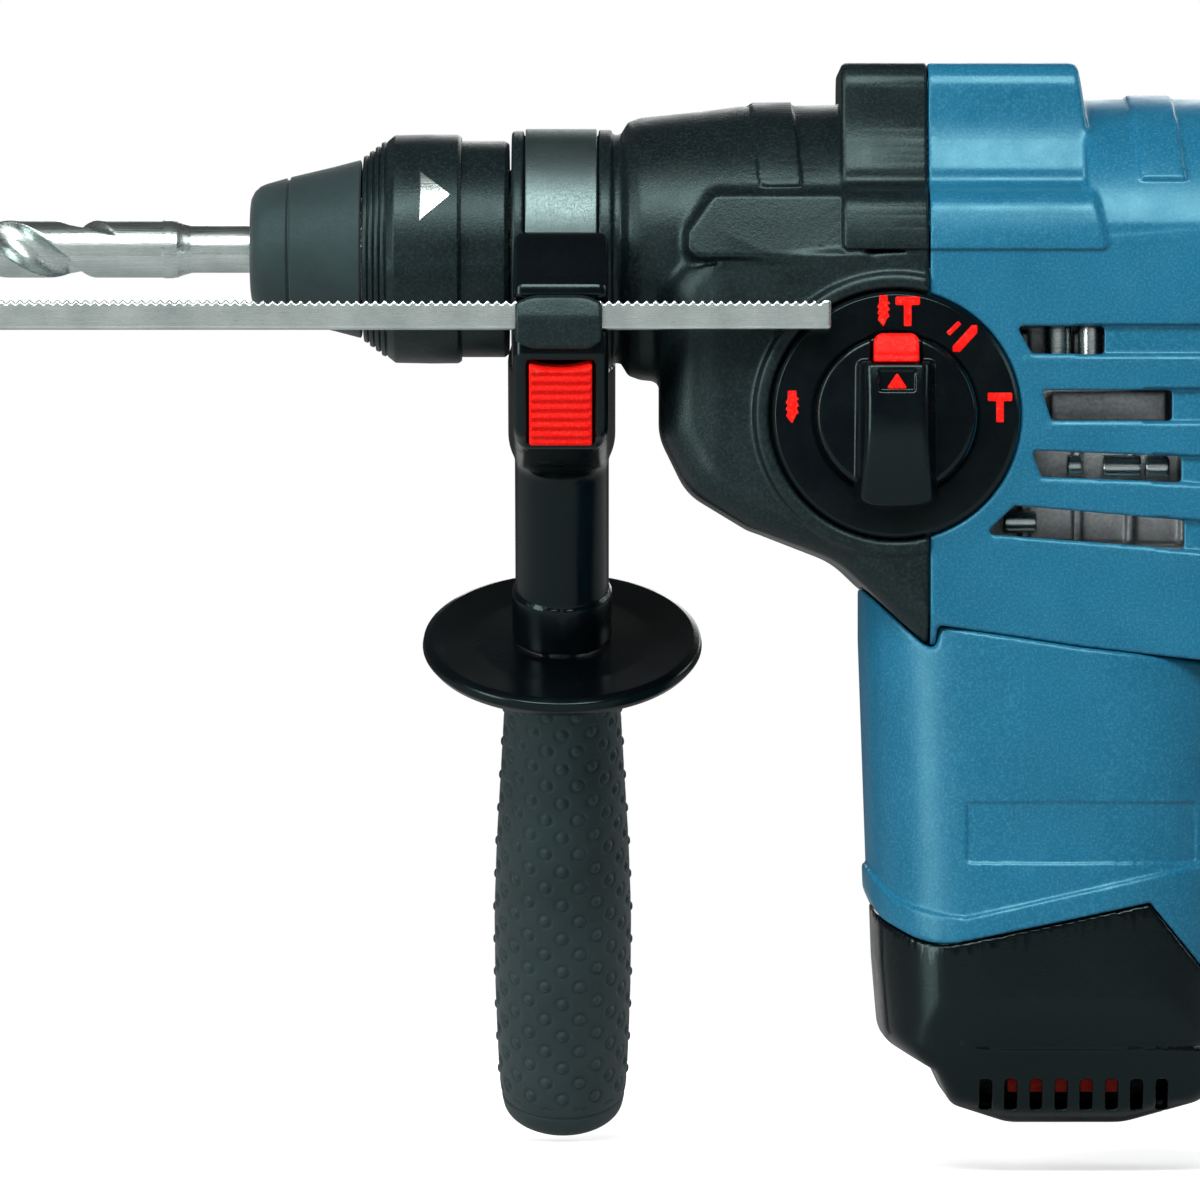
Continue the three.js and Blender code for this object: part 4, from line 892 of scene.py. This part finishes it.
FINISHES = {
    "blue_plastic": moulded(
        "blue_shell", ((17, 88, 118), (22, 97, 129), (74, 148, 176)), 0.34, 0.5, 0.018, 0.6, CLEAR_BLUE
    ),
    "black_plastic": moulded(
        "black_shell", ((8, 14, 16), (12, 20, 23), (44, 62, 64)), 0.38, 0.62, 0.045, 0.34, COOL
    ),
    "gloss_black_plastic": moulded(
        "gloss_shell", ((3, 6, 9), (5, 9, 13), (24, 34, 38)), 0.22, 0.7, 0.012, 0.3, COOL, 0.1
    ),
    "black_rubber": rubber("soft_rubber", (24, 36, 38), (36, 51, 53)),
    "red_plastic": moulded("red_cap", ((232, 6, 3), (240, 12, 6), (250, 84, 66)), 0.5, 0.5, 0.01, 0.12),
    "bright_steel": metal("bright_steel", ((214, 226, 223), (140, 154, 151)), 0.28, (14, 0.35, 0.35)),
    "band_steel": metal("band_steel", ((104, 122, 121), (76, 92, 92)), 0.46, (0.35, 0.5, 0.5), 0.05),
    "gear_steel": metal("gear_steel", ((136, 141, 142), (64, 68, 70)), 0.36, (0.7, 0.7, 0.7)),
    "cast_aluminium": metal(
        "cast_aluminium", ((176, 180, 180), (110, 116, 118)), 0.5, (0.9, 0.9, 0.9), 0.12
    ),
    "lamination_iron": laminated("core_sheets"),
    "copper_wire": windings("enamelled_wire"),
    "commutator_copper": metal(
        "commutator_copper", ((196, 132, 74), (112, 62, 30)), 0.32, (0.6, 0.6, 14)
    ),
    "carbon": moulded("carbon_brush", ((26, 26, 28), (36, 36, 38), (70, 70, 74)), 0.6, 0.4, 0.02),
}


# ---- Putting pieces on the frame ----
SLOT_OF = {part["node"]: part["material_slot"] for part in frame["record"]["subparts"]}
BODY_OF = {node: body for body, nodes in frame["record"]["behaviour"]["bodies"].items() for node in nodes}
BRIDGES = ("bellows", "damper_spring")  # join the housing to the damped rear handle; kept in place on no body


def fitted(piece, node, slot=None, stands_for=True):
    """Finishes a piece, sets it on the body of a CAD node and lets it stand for that node."""
    name = slot or SLOT_OF[node]
    piece.data.materials.clear()
    piece.data.materials.append(FINISHES[name])
    if node in BRIDGES:
        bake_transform(piece)
    else:
        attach(piece, BODY_OF[node])
    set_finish(piece, name)
    if stands_for:
        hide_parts(node)
    return piece


def from_field(node, made, share=1.0, matrix=None, slot=None):
    """The mesh of a distance field in place of a CAD node."""
    block, field = made
    piece = new_mesh(node + "_skin", *block.mesh(field), matrix)
    return fitted(thinned(piece, share), node, slot)


def about(axis, at):
    """Turns a shape made along X into one along the named axis through a point."""
    quarter = math.pi / 2
    turns = {"x": Matrix(), "y": Matrix.Rotation(quarter, 4, "Z"), "z": Matrix.Rotation(-quarter, 4, "Y")}
    return Matrix.Translation(Vector(at) * MM) @ turns[axis]


SPINDLE = about("x", (0, 0, AXIS_Z))
HANDLE = Matrix.Translation(Vector((COLLAR_X, 0, AXIS_Z)) * MM) @ Matrix.Rotation(TILT, 4, "X")
COLUMN = HANDLE @ Matrix.Rotation(math.pi / 2, 4, "Y")  # carries stations along X to stations down the handle


def turned_piece(node, corners, matrix, slot=None, segments=ROUND, steps=5):
    """A ring with a closed, rounded section in place of a CAD node."""
    profile = rounded(corners, steps)
    x, r = profile[:, 0], profile[:, 1]
    area = np.sum(x * np.roll(r, -1) - np.roll(x, -1) * r)
    if area > 0:
        profile = profile[::-1]
    return fitted(new_mesh(node + "_skin", *swept(profile, segments), matrix), node, slot)


# ---- Chuck ----
def chuck():
    turned_piece("dust_cap", [
        (-167.8, 5.7, 0.4), (-167.8, 12.7, 4.6), (-160.1, 14.9, 1), (-159.9, 14.45), (-159.5, 14.45),
        (-159.3, 15.1, 0.3), (-150, 17.3, 20), (-144.7, 18.7, 0.3), (-144.5, 18.3), (-144.5, 14.5),
        (-154, 14.5), (-156, 11.2), (-161.4, 11.2), (-164, 9.2), (-164, 5.7, 0.4),
    ], SPINDLE)
    stairs = []
    for i in range(4):
        x, r = -144.1 + 1.25 * i, 19.0 + 0.95 * i
        stairs += [(x, r - 0.35, 0.1), (x + 0.1, r + 0.45, 0.35)]
        stairs += [(x + 0.95, r + 0.75, 0.35), (x + 1.1, r + 0.35, 0.1)]
    turned_piece("locking_sleeve", [
        (-144.1, 14.7), *stairs, (-138.9, 22.7, 0.2), (-137.4, 23.9, 0.8), (-130, 24.05, 9),
        (-124.2, 24.0, 0.5), (-123.5, 23.5, 0.2), (-123.5, 22.9), (-136.6, 22.9), (-136.6, 14.7),
    ], SPINDLE)
    turned_piece("chuck_ring", [
        (-129, 17.4), (-129, 22.7, 0.3), (-114.4, 22.7, 0.6), (-113.5, 22.0, 0.3), (-113.5, 17.4),
    ], SPINDLE)
    turned_piece("clamp_band", [
        (-110.1, 23.9), (-110.1, 25.2, 0.35), (-95.1, 25.2, 0.35), (-95.1, 23.9),
    ], SPINDLE)
    sleeve_arrow()


def sleeve_arrow():
    """A pointed steel inlay that lies on the locking sleeve and shows which way it slides."""
    across, along = 25, 17
    angles = np.radians(np.linspace(11.5, 40.5, across))
    centre = math.radians(26)
    points = []
    for lift in (0.0, 0.14):
        for i in range(along):
            share = i / (along - 1)
            for angle in centre + (angles - centre) * (1 - share * 0.985):
                x = -132.0 + 6.3 * share
                points.append((x, -(24.02 + lift) * math.cos(angle), (24.02 + lift) * math.sin(angle)))
    layer = across * along
    place = np.arange(layer).reshape(along, across)
    faces = []
    for a in place[:-1, :-1].ravel():
        faces += [(a, a + across, a + across + 1, a + 1)]
        faces += [(layer + a, layer + a + 1, layer + a + across + 1, layer + a + across)]
    rim = [*place[0], *place[1:, -1], *place[-1, -2::-1], *place[-2:0:-1, 0]]
    faces += [(a, b, b + layer, a + layer) for a, b in zip(rim, rim[1:] + rim[:1])]
    piece = new_mesh("sleeve_arrow", points, faces, SPINDLE)
    fitted(piece, "locking_sleeve", "bright_steel", stands_for=False)


def drill_bit():
    b = Block((-292.6, -6.4, AXIS_Z - 6.4), (-132.4, 6.4, AXIS_Z + 6.4), 0.28)
    v, w = b.y, b.z - AXIS_Z
    radius = np.sqrt(v**2 + w**2)
    turn = 0.5 + (b.x + 200) / 44 * 2 * math.pi
    s = v * np.cos(turn) + w * np.sin(turn)
    t = -v * np.sin(turn) + w * np.cos(turn)
    flute = np.sqrt((np.abs(t) - 6.2) ** 2 + (s * 0.78) ** 2) - 4.3
    runout = 0.42 * np.clip(b.x + 206, 0, 24)
    body = meet(radius - 6.0, b.x + 184, 0.2)
    body = cut(body, flute + runout, 0.35)
    cone = meet(radius - 6.0 + np.clip((b.x + 183.2) * 0.45, 0, 3), between(b.x, -186, -180.5), 0.4)
    shank = meet(radius - 5.0, between(b.x, -183, -132.4), 0.6)
    for side in (-1, 1):
        ball_seat = meet(meet(np.abs(v) - 2.9, between(b.x, -153.5, -136.5), 1.5), 3.5 - side * w)
        key_way = meet(meet(np.abs(w) - 1.2, between(b.x, -166, -125), 0.3), 3.5 - side * v)
        shank = cut(cut(shank, ball_seat, 0.3), key_way, 0.2)
    tip_cone = radius + (-288.6 - b.x) * 1.3 - 5.6
    body = meet(body, tip_cone, 0.2)
    plate = meet(np.abs(v) - 0.9, np.abs(w) - 6.1, 0.2)
    plate = meet(plate, between(b.x, -292.5 + 0.25 * np.abs(w), -283), 0.2)
    bit = join(join(join(body, cone, 0.5), shank, 0.8), plate, 0.1)
    from_field("drill_bit", (b, bit))


ROD_TOOTH = 1.92  # spacing of the depth rod's teeth


def depth_rod():
    low, high = span("depth_rod")
    b = Block(low, high, 0.3)
    bar = meet(between(b.y, low[1], high[1]), between(b.z, low[2], high[2]), 0.55)
    bar = meet(bar, between(b.x, low[0], high[0]), 0.5)
    phase = ((high[0] - 1.5 - b.x) / ROD_TOOTH) % 1.0
    gullet = (high[2] - 0.95 + 1.9 * np.abs(phase - 0.5)) - b.z
    toothed = np.maximum(bar, np.where(between(b.x, low[0] + 2, high[0] - 1.5) < 0, -gullet, -5) * 0.7)
    from_field("depth_rod", (b, toothed))


# ---- Side handle ----
GRIP = {"top": 97.0, "nubs": (99.5, 203.0), "groove": 205.0, "dome": 208.0, "end": 213.4}
NUBS = {"columns": 24, "pitch": 8.2}
GRIP_STATIONS = [97, 99, 111, 126, 142, 160, 178, 192, 203, 209, 212, 213.4]
GRIP_RADII = [12.1, 12.5, 12.6, 13.4, 14.3, 14.9, 14.8, 14.4, 13.9, 13.0, 11.0, 7.5]


def side_grip():
    """The rubber grip: a swept form whose surface is lifted into nubs, each with a ring groove round it."""
    rows, segments = ((420, 336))
    stations = np.linspace(GRIP["top"], GRIP["end"], rows)
    radii = np.interp(stations, GRIP_STATIONS, GRIP_RADII)
    for _ in range(rows // 10):
        radii[1:-1] = (radii[:-2] + 2 * radii[1:-1] + radii[2:]) / 4
    drop = np.clip((stations - GRIP["dome"]) / (GRIP["end"] - GRIP["dome"]), 0, 1)
    radii -= 5.0 * (1 - np.sqrt(1 - drop**2))
    radii -= 0.4 * np.exp(-(((stations - GRIP["groove"]) / 0.4) ** 2))
    angles = np.linspace(0, 2 * math.pi, segments, endpoint=False)
    s, a = np.meshgrid(stations, angles, indexing="ij")
    column = a / (2 * math.pi) * NUBS["columns"]
    lift = np.zeros_like(s)
    for offset in (0.0, 0.5):
        nearest = np.round((column - 2 * offset) / 2) * 2 + 2 * offset
        around = (column - nearest) * 2 * math.pi / NUBS["columns"] * radii[:, None]
        row = (s - 101.5) / NUBS["pitch"] - offset
        apart = np.hypot(around, (row - np.round(row)) * NUBS["pitch"])
        nub = 0.34 * np.exp(-((apart / 0.85) ** 4)) - 0.26 * np.exp(-(((apart - 1.45) / 0.35) ** 2))
        lift += np.where(between(s, *GRIP["nubs"]) < 0, nub, 0)
    r = radii[:, None] + lift
    grid = np.stack([s, r * np.cos(a), r * np.sin(a)], -1)
    inner = [(GRIP["end"], 0.01), (200.4, 0.01), (200.4, 8.4), (GRIP["top"], 8.4)]
    wall = [[(at, radius * math.cos(t), radius * math.sin(t)) for t in angles] for at, radius in inner]
    points = np.concatenate([grid, wall]).reshape(-1, 3)
    faces = grid_faces(rows + 4, segments)[:, ::-1]
    return fitted(new_mesh("side_grip_skin", points, faces, COLUMN), "side_grip")


def grip_flange():
    turned_piece("grip_flange", [
        (92.5, 4.5), (92.5, 11.5, 2), (92.9, 19, 10), (92.0, 28.2, 0.8), (92.8, 29.7, 0.8), (94.4, 30, 0.6),
        (96.1, 28.7, 0.8), (96.0, 17, 6), (96.4, 8.2), (96.4, 4.5),
    ], COLUMN)


# ---- Marks and small controls ----
def marks(node, name, outlines, front, depth, sink):
    """Thin raised marks, each an outline in (x, z), standing on a surface that faces -Y."""
    points = np.array([point[:2] for outline in outlines for point in outline])
    low, high = points.min(axis=0) - 0.3, points.max(axis=0) + 0.3
    back = front + depth + sink
    b = Block((low[0], front - 0.3, low[1]), (high[0], back, high[1]), 0.12)
    field = FAR
    for outline in outlines:
        field = np.minimum(field, side_view(b, outline))
    field = meet(field, between(b.y, front, back - 0.3), 0.06)
    piece = new_mesh(name, *b.mesh(field))
    return fitted(thinned(piece, 0.5), node, "red_plastic", stands_for=False)


def on_dial(outline, at, scale=1.0):
    """An outline scaled and moved to a place given from the dial's centre."""
    x, z = DIAL_X + at[0], DIAL_Z + at[1]
    return [(x + u * scale, z + v * scale, *(k * scale for k in r)) for u, v, *r in outline]


HAMMER = [
    (-2.7, 1.3, 0.4), (2.7, 1.3, 0.4), (2.7, 3.2, 0.4), (-2.7, 3.2, 0.4),
], [(-0.85, -3.3, 0.3), (0.85, -3.3, 0.3), (0.85, 1.5), (-0.85, 1.5)]
TWIST = [
    (-0.9, 3.3, 0.3), (0.9, 3.3, 0.3), (0.9, 2.1), (1.4, 1.6), (0.9, 1.2), (1.4, 0.3), (0.9, -0.1),
    (1.3, -1.1), (0.8, -1.5), (0, -3.3, 0.2), (-1.2, -1.7), (-0.9, -0.9), (-1.3, -0.4), (-0.9, 0.4),
    (-1.3, 0.9), (-0.9, 1.7),
]
SLANT = [
    (-2.6, -2.9, 0.3), (-1.0, -2.9, 0.3), (2.8, 1.3, 0.2), (2.8, 3.0, 0.3), (1.6, 3.0, 0.3),
    (-2.6, -1.6, 0.3),
], [(-3.2, 0.6, 0.3), (-0.6, 3.2, 0.3), (-1.4, 3.9, 0.3), (-4.0, 1.4, 0.3)]


def selector_marks():
    """Four generic signs round the ring, and the pointer in the knob."""
    outlines = [on_dial(TWIST, (-2.5, 21.3)), *(on_dial(part, (2.5, 21.3), 0.95) for part in HAMMER)]
    outlines += [on_dial(part, (14.2, 15.6), 0.95) for part in SLANT]
    outlines += [on_dial(part, (21.5, 1.5), 0.95) for part in HAMMER]
    outlines += [on_dial(TWIST, (-21.3, 1.5), 1.05)]
    marks("selector_ring", "selector_marks", outlines, -38.3, 0.1, 0.5)
    pointer = on_dial([(-2.2, 5.1, 0.3), (2.2, 5.1, 0.3), (0, 8.4, 0.3)], (0, 0))
    marks("selector_knob", "selector_pointer", [pointer], -48.55, 0.3, 0.9)


def selector_ring():
    turned_piece("selector_ring", [
        (-35.7, 16.9), (-38.0, 16.9, 0.3), (-38.2, 17.6, 0.3), (-38.2, 24.7, 0.4), (-37.5, 25.5, 0.3),
        (-35.7, 25.55),
    ], about("y", (DIAL_X, 0, DIAL_Z)), "gloss_black_plastic")


def reverse_slider():
    low, high = span("reverse_slider")
    b = Block(low, high, min(PITCH, 0.4))
    bar = boxed(b, x=(low[0], high[0]), y=(low[1], high[1]), z=(low[2], high[2]), r=1.2)
    ribs = 0.35 * np.cos(2 * math.pi * b.x / 1.6) * np.clip((np.abs(b.y) - 18.6) / 0.6, 0, 1)
    return b, bar + ribs + 0.1


def cord_gland():
    x = middle("cord_gland")[0]
    turned_piece("cord_gland", [
        (7.1, 3.2, 0.4), (7.1, 5.4, 0.6), (8.6, 6.6, 0.6), (10.2, 6.9, 0.3), (10.6, 6.2, 0.3),
        (11.4, 6.2, 0.3), (11.8, 6.95, 0.3), (13.4, 6.95, 0.3), (13.8, 6.2, 0.3), (14.6, 6.2, 0.3),
        (15.0, 6.95, 0.3), (21.6, 6.95), (21.6, 3.2),
    ], about("z", (x, 0, 0)))


def damper_spring():
    """The coil behind the bellows, which carries the damped handle."""
    turns, wire, steps, sides = 5, 0.9, 200, 14
    low, high = span("damper_spring")
    share = np.linspace(0, 1, steps + 1)[:, None]
    angle = 2 * math.pi * turns * share
    outward = np.concatenate([0 * angle, np.cos(angle), np.sin(angle)], 1)
    along = np.array([[high[0] - low[0] - 2 * wire, 0, 0]])
    start = np.array([[low[0] + wire, 0, (low[2] + high[2]) / 2]])
    centres = start + share * along + outward * ((high[1] - low[1]) / 2 - wire)
    thick = np.full((steps + 1, 1, 1), wire)
    thick[[0, -1]] = 0.01
    turn = np.linspace(0, 2 * math.pi, sides, endpoint=False)[None, :, None]
    rings = np.cos(turn) * outward[:, None, :] + np.sin(turn) * np.array([1, 0, 0])
    points = (centres[:, None, :] + thick * rings).reshape(-1, 3)
    faces = grid_faces(steps + 1, sides)[:-sides]
    fitted(new_mesh("damper_spring_coil", points, faces), "damper_spring")


def lock_on_button():
    low, high = span("lock_on_button")
    turned_piece("lock_on_button", [
        (low[1] + 0.5, 0.01), (low[1] + 0.3, 2.6, 1), (low[1], 3.7, 0.4), (low[1] + 0.9, 4.9, 0.5),
        (high[1], 4.95), (high[1], 0.01),
    ], about("y", ((low[0] + high[0]) / 2, 0, (low[2] + high[2]) / 2)))


# ---- Assembly ----
for make, share in (  # each function is named after its node
    (gear_housing, 0.3), (motor_housing, 0.3), (soft_grip, 0.7), (head_cap, 0.5), (selector_button, 0.6),
    (trigger, 0.5), (bellows, 0.6), (reverse_slider, 0.5), (bearing_bracket, 0.5),
):
    from_field(make.__name__, make(), share)
block, field = bracket_pins()
pins = new_mesh("bracket_pins", *block.mesh(field))
fitted(thinned(pins, 0.6), "bearing_bracket", "bright_steel", stands_for=False)
for side, word in ((-1, "left"), (1, "right")):
    from_field("body_shell_" + word, body_shell(side), 0.3)
    from_field("rear_handle_" + word, rear_handle(side), 0.35)
from_field("rod_button", rod_button(), 0.6, HANDLE)
for make in (selector_knob, handle_head, base_cap):
    from_field(make.__name__, make(), 0.4, slot="gloss_black_plastic")
for make in (
    chuck, drill_bit, depth_rod, side_grip, grip_flange, selector_ring, selector_marks, cord_gland,
    damper_spring, lock_on_button,
):
    make()

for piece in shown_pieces():  # the CAD nodes that still show
    if "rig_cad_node" in piece:
        node = piece["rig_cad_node"]
        piece.data.materials.clear()
        piece.data.materials.append(FINISHES[SLOT_OF[node]])
        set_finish(piece, SLOT_OF[node])


# ---- Stage ----
def seen_or_lit(tree, seen, lit):
    """Mixes two shaders: one for what the camera sees, one for the light that goes to the object."""
    mix, path = tree.nodes.new("ShaderNodeMixShader"), tree.nodes.new("ShaderNodeLightPath")
    tree.links.new(path.outputs["Is Camera Ray"], mix.inputs["Fac"])
    tree.links.new(lit, mix.inputs[1])
    tree.links.new(seen, mix.inputs[2])
    return mix.outputs[0]


def stage_floor():
    """A pale sheet under the tool, whose rim fades into the backdrop."""
    z, reach = cad_box[0].z - 0.2 * MM, 1.6
    mesh = bpy.data.meshes.new("floor")
    corners = [(-reach, -reach, z), (reach, -reach, z), (reach, reach, z), (-reach, reach, z)]
    mesh.from_pydata(corners, [], [(0, 1, 2, 3)])
    floor = bpy.data.objects.new("floor", mesh)
    bpy.context.scene.collection.objects.link(floor)
    made = Finish("floor_paper", Specular_IOR_Level=0.2, Emission_Color=(1, 1, 1, 1), Emission_Strength=0.6)
    clouds = made.ranged(made.noise(300, 2, 0.5), 0, 1, 0.3, 0.7)
    tone = made.mixed(clouds, (0.84, 0.84, 0.84, 1), (0.88, 0.88, 0.88, 1))
    made.painted(tone, made.ranged(made.noise(60), 0.7, 0.85))
    away = made.node("ShaderNodeVectorMath", operation="LENGTH")
    made.link(made.place, away.inputs[0])
    fade, clear = made.node("ShaderNodeMixShader"), made.node("ShaderNodeBsdfTransparent")
    made.link(made.ranged(away.outputs["Value"], 0, 1, 0.35, 1.1), fade.inputs["Fac"])
    made.link(made.shader.outputs[0], fade.inputs[1])
    made.link(clear.outputs[0], fade.inputs[2])
    dull = made.node("ShaderNodeBsdfDiffuse")
    dull.inputs["Color"].default_value = (0.5, 0.5, 0.5, 1)
    surface = seen_or_lit(made.tree, fade.outputs[0], dull.outputs[0])
    made.link(surface, made.tree.nodes["Material Output"].inputs[0])
    floor.data.materials.append(made.material)
    return floor


TARGET = (-0.08, 0.0, 0.12)  # where every light is aimed


def softbox(name, turn, height, distance, size, power):
    """An area light aimed at the tool, from an angle round it and one above the horizon, in degrees."""
    light = bpy.data.lights.new(name, "AREA")
    light.shape, light.size, light.size_y, light.energy = "RECTANGLE", *size, power
    lamp = bpy.data.objects.new(name, light)
    round_, above = math.radians(turn), math.radians(height)
    back = Vector((math.sin(round_) * math.cos(above), -math.cos(round_) * math.cos(above), math.sin(above)))
    lamp.location = Vector(TARGET) + back * distance
    lamp.rotation_euler = back.to_track_quat("Z", "Y").to_euler()
    lamp.visible_camera = False
    bpy.context.scene.collection.objects.link(lamp)
    return lamp


stage_floor()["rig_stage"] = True
softbox("key_light", -56, 14, 1.5, (0.5, 1.1), 15)
softbox("top_light", -6, 43, 1.4, (1.1, 0.45), 22)
softbox("back_light", 165, 22, 1.7, (1.4, 0.7), 9)
softbox("side_light", 100, 22, 1.7, (1.0, 0.8), 9)
panel = softbox("metal_panel", 4, 5, 2.3, (2.0, 0.6), 1.8)  # only the metals mirror this one
metals = bpy.data.collections.new("metals")
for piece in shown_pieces():
    if piece.get("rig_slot") in ("bright_steel", "band_steel", "gear_steel", "cast_aluminium"):
        metals.objects.link(piece)
panel.light_linking.receiver_collection = metals

world = bpy.data.worlds.new("studio")
world.use_nodes = True
tree = world.node_tree
backdrop, glow = tree.nodes["Background"], tree.nodes.new("ShaderNodeBackground")
for background, strength in ((backdrop, 1.0), (glow, 0.08)):
    background.inputs["Color"].default_value = (1, 1, 1, 1)
    background.inputs["Strength"].default_value = strength
tree.links.new(seen_or_lit(tree, backdrop.outputs[0], glow.outputs[0]), tree.nodes["World Output"].inputs[0])
scene = bpy.context.scene
scene.world = world
scene.view_settings.view_transform = "Standard"

camera = bpy.data.objects.new("camera", bpy.data.cameras.new("camera"))
camera.location = (-0.0945, -2.0, 0.1084)
camera.rotation_euler = (math.pi / 2, 0, 0)
camera.data.sensor_width, camera.data.lens = 36, 285.7
camera.data.clip_start, camera.data.clip_end = 0.05, 40
scene.collection.objects.link(camera)
scene.camera = camera
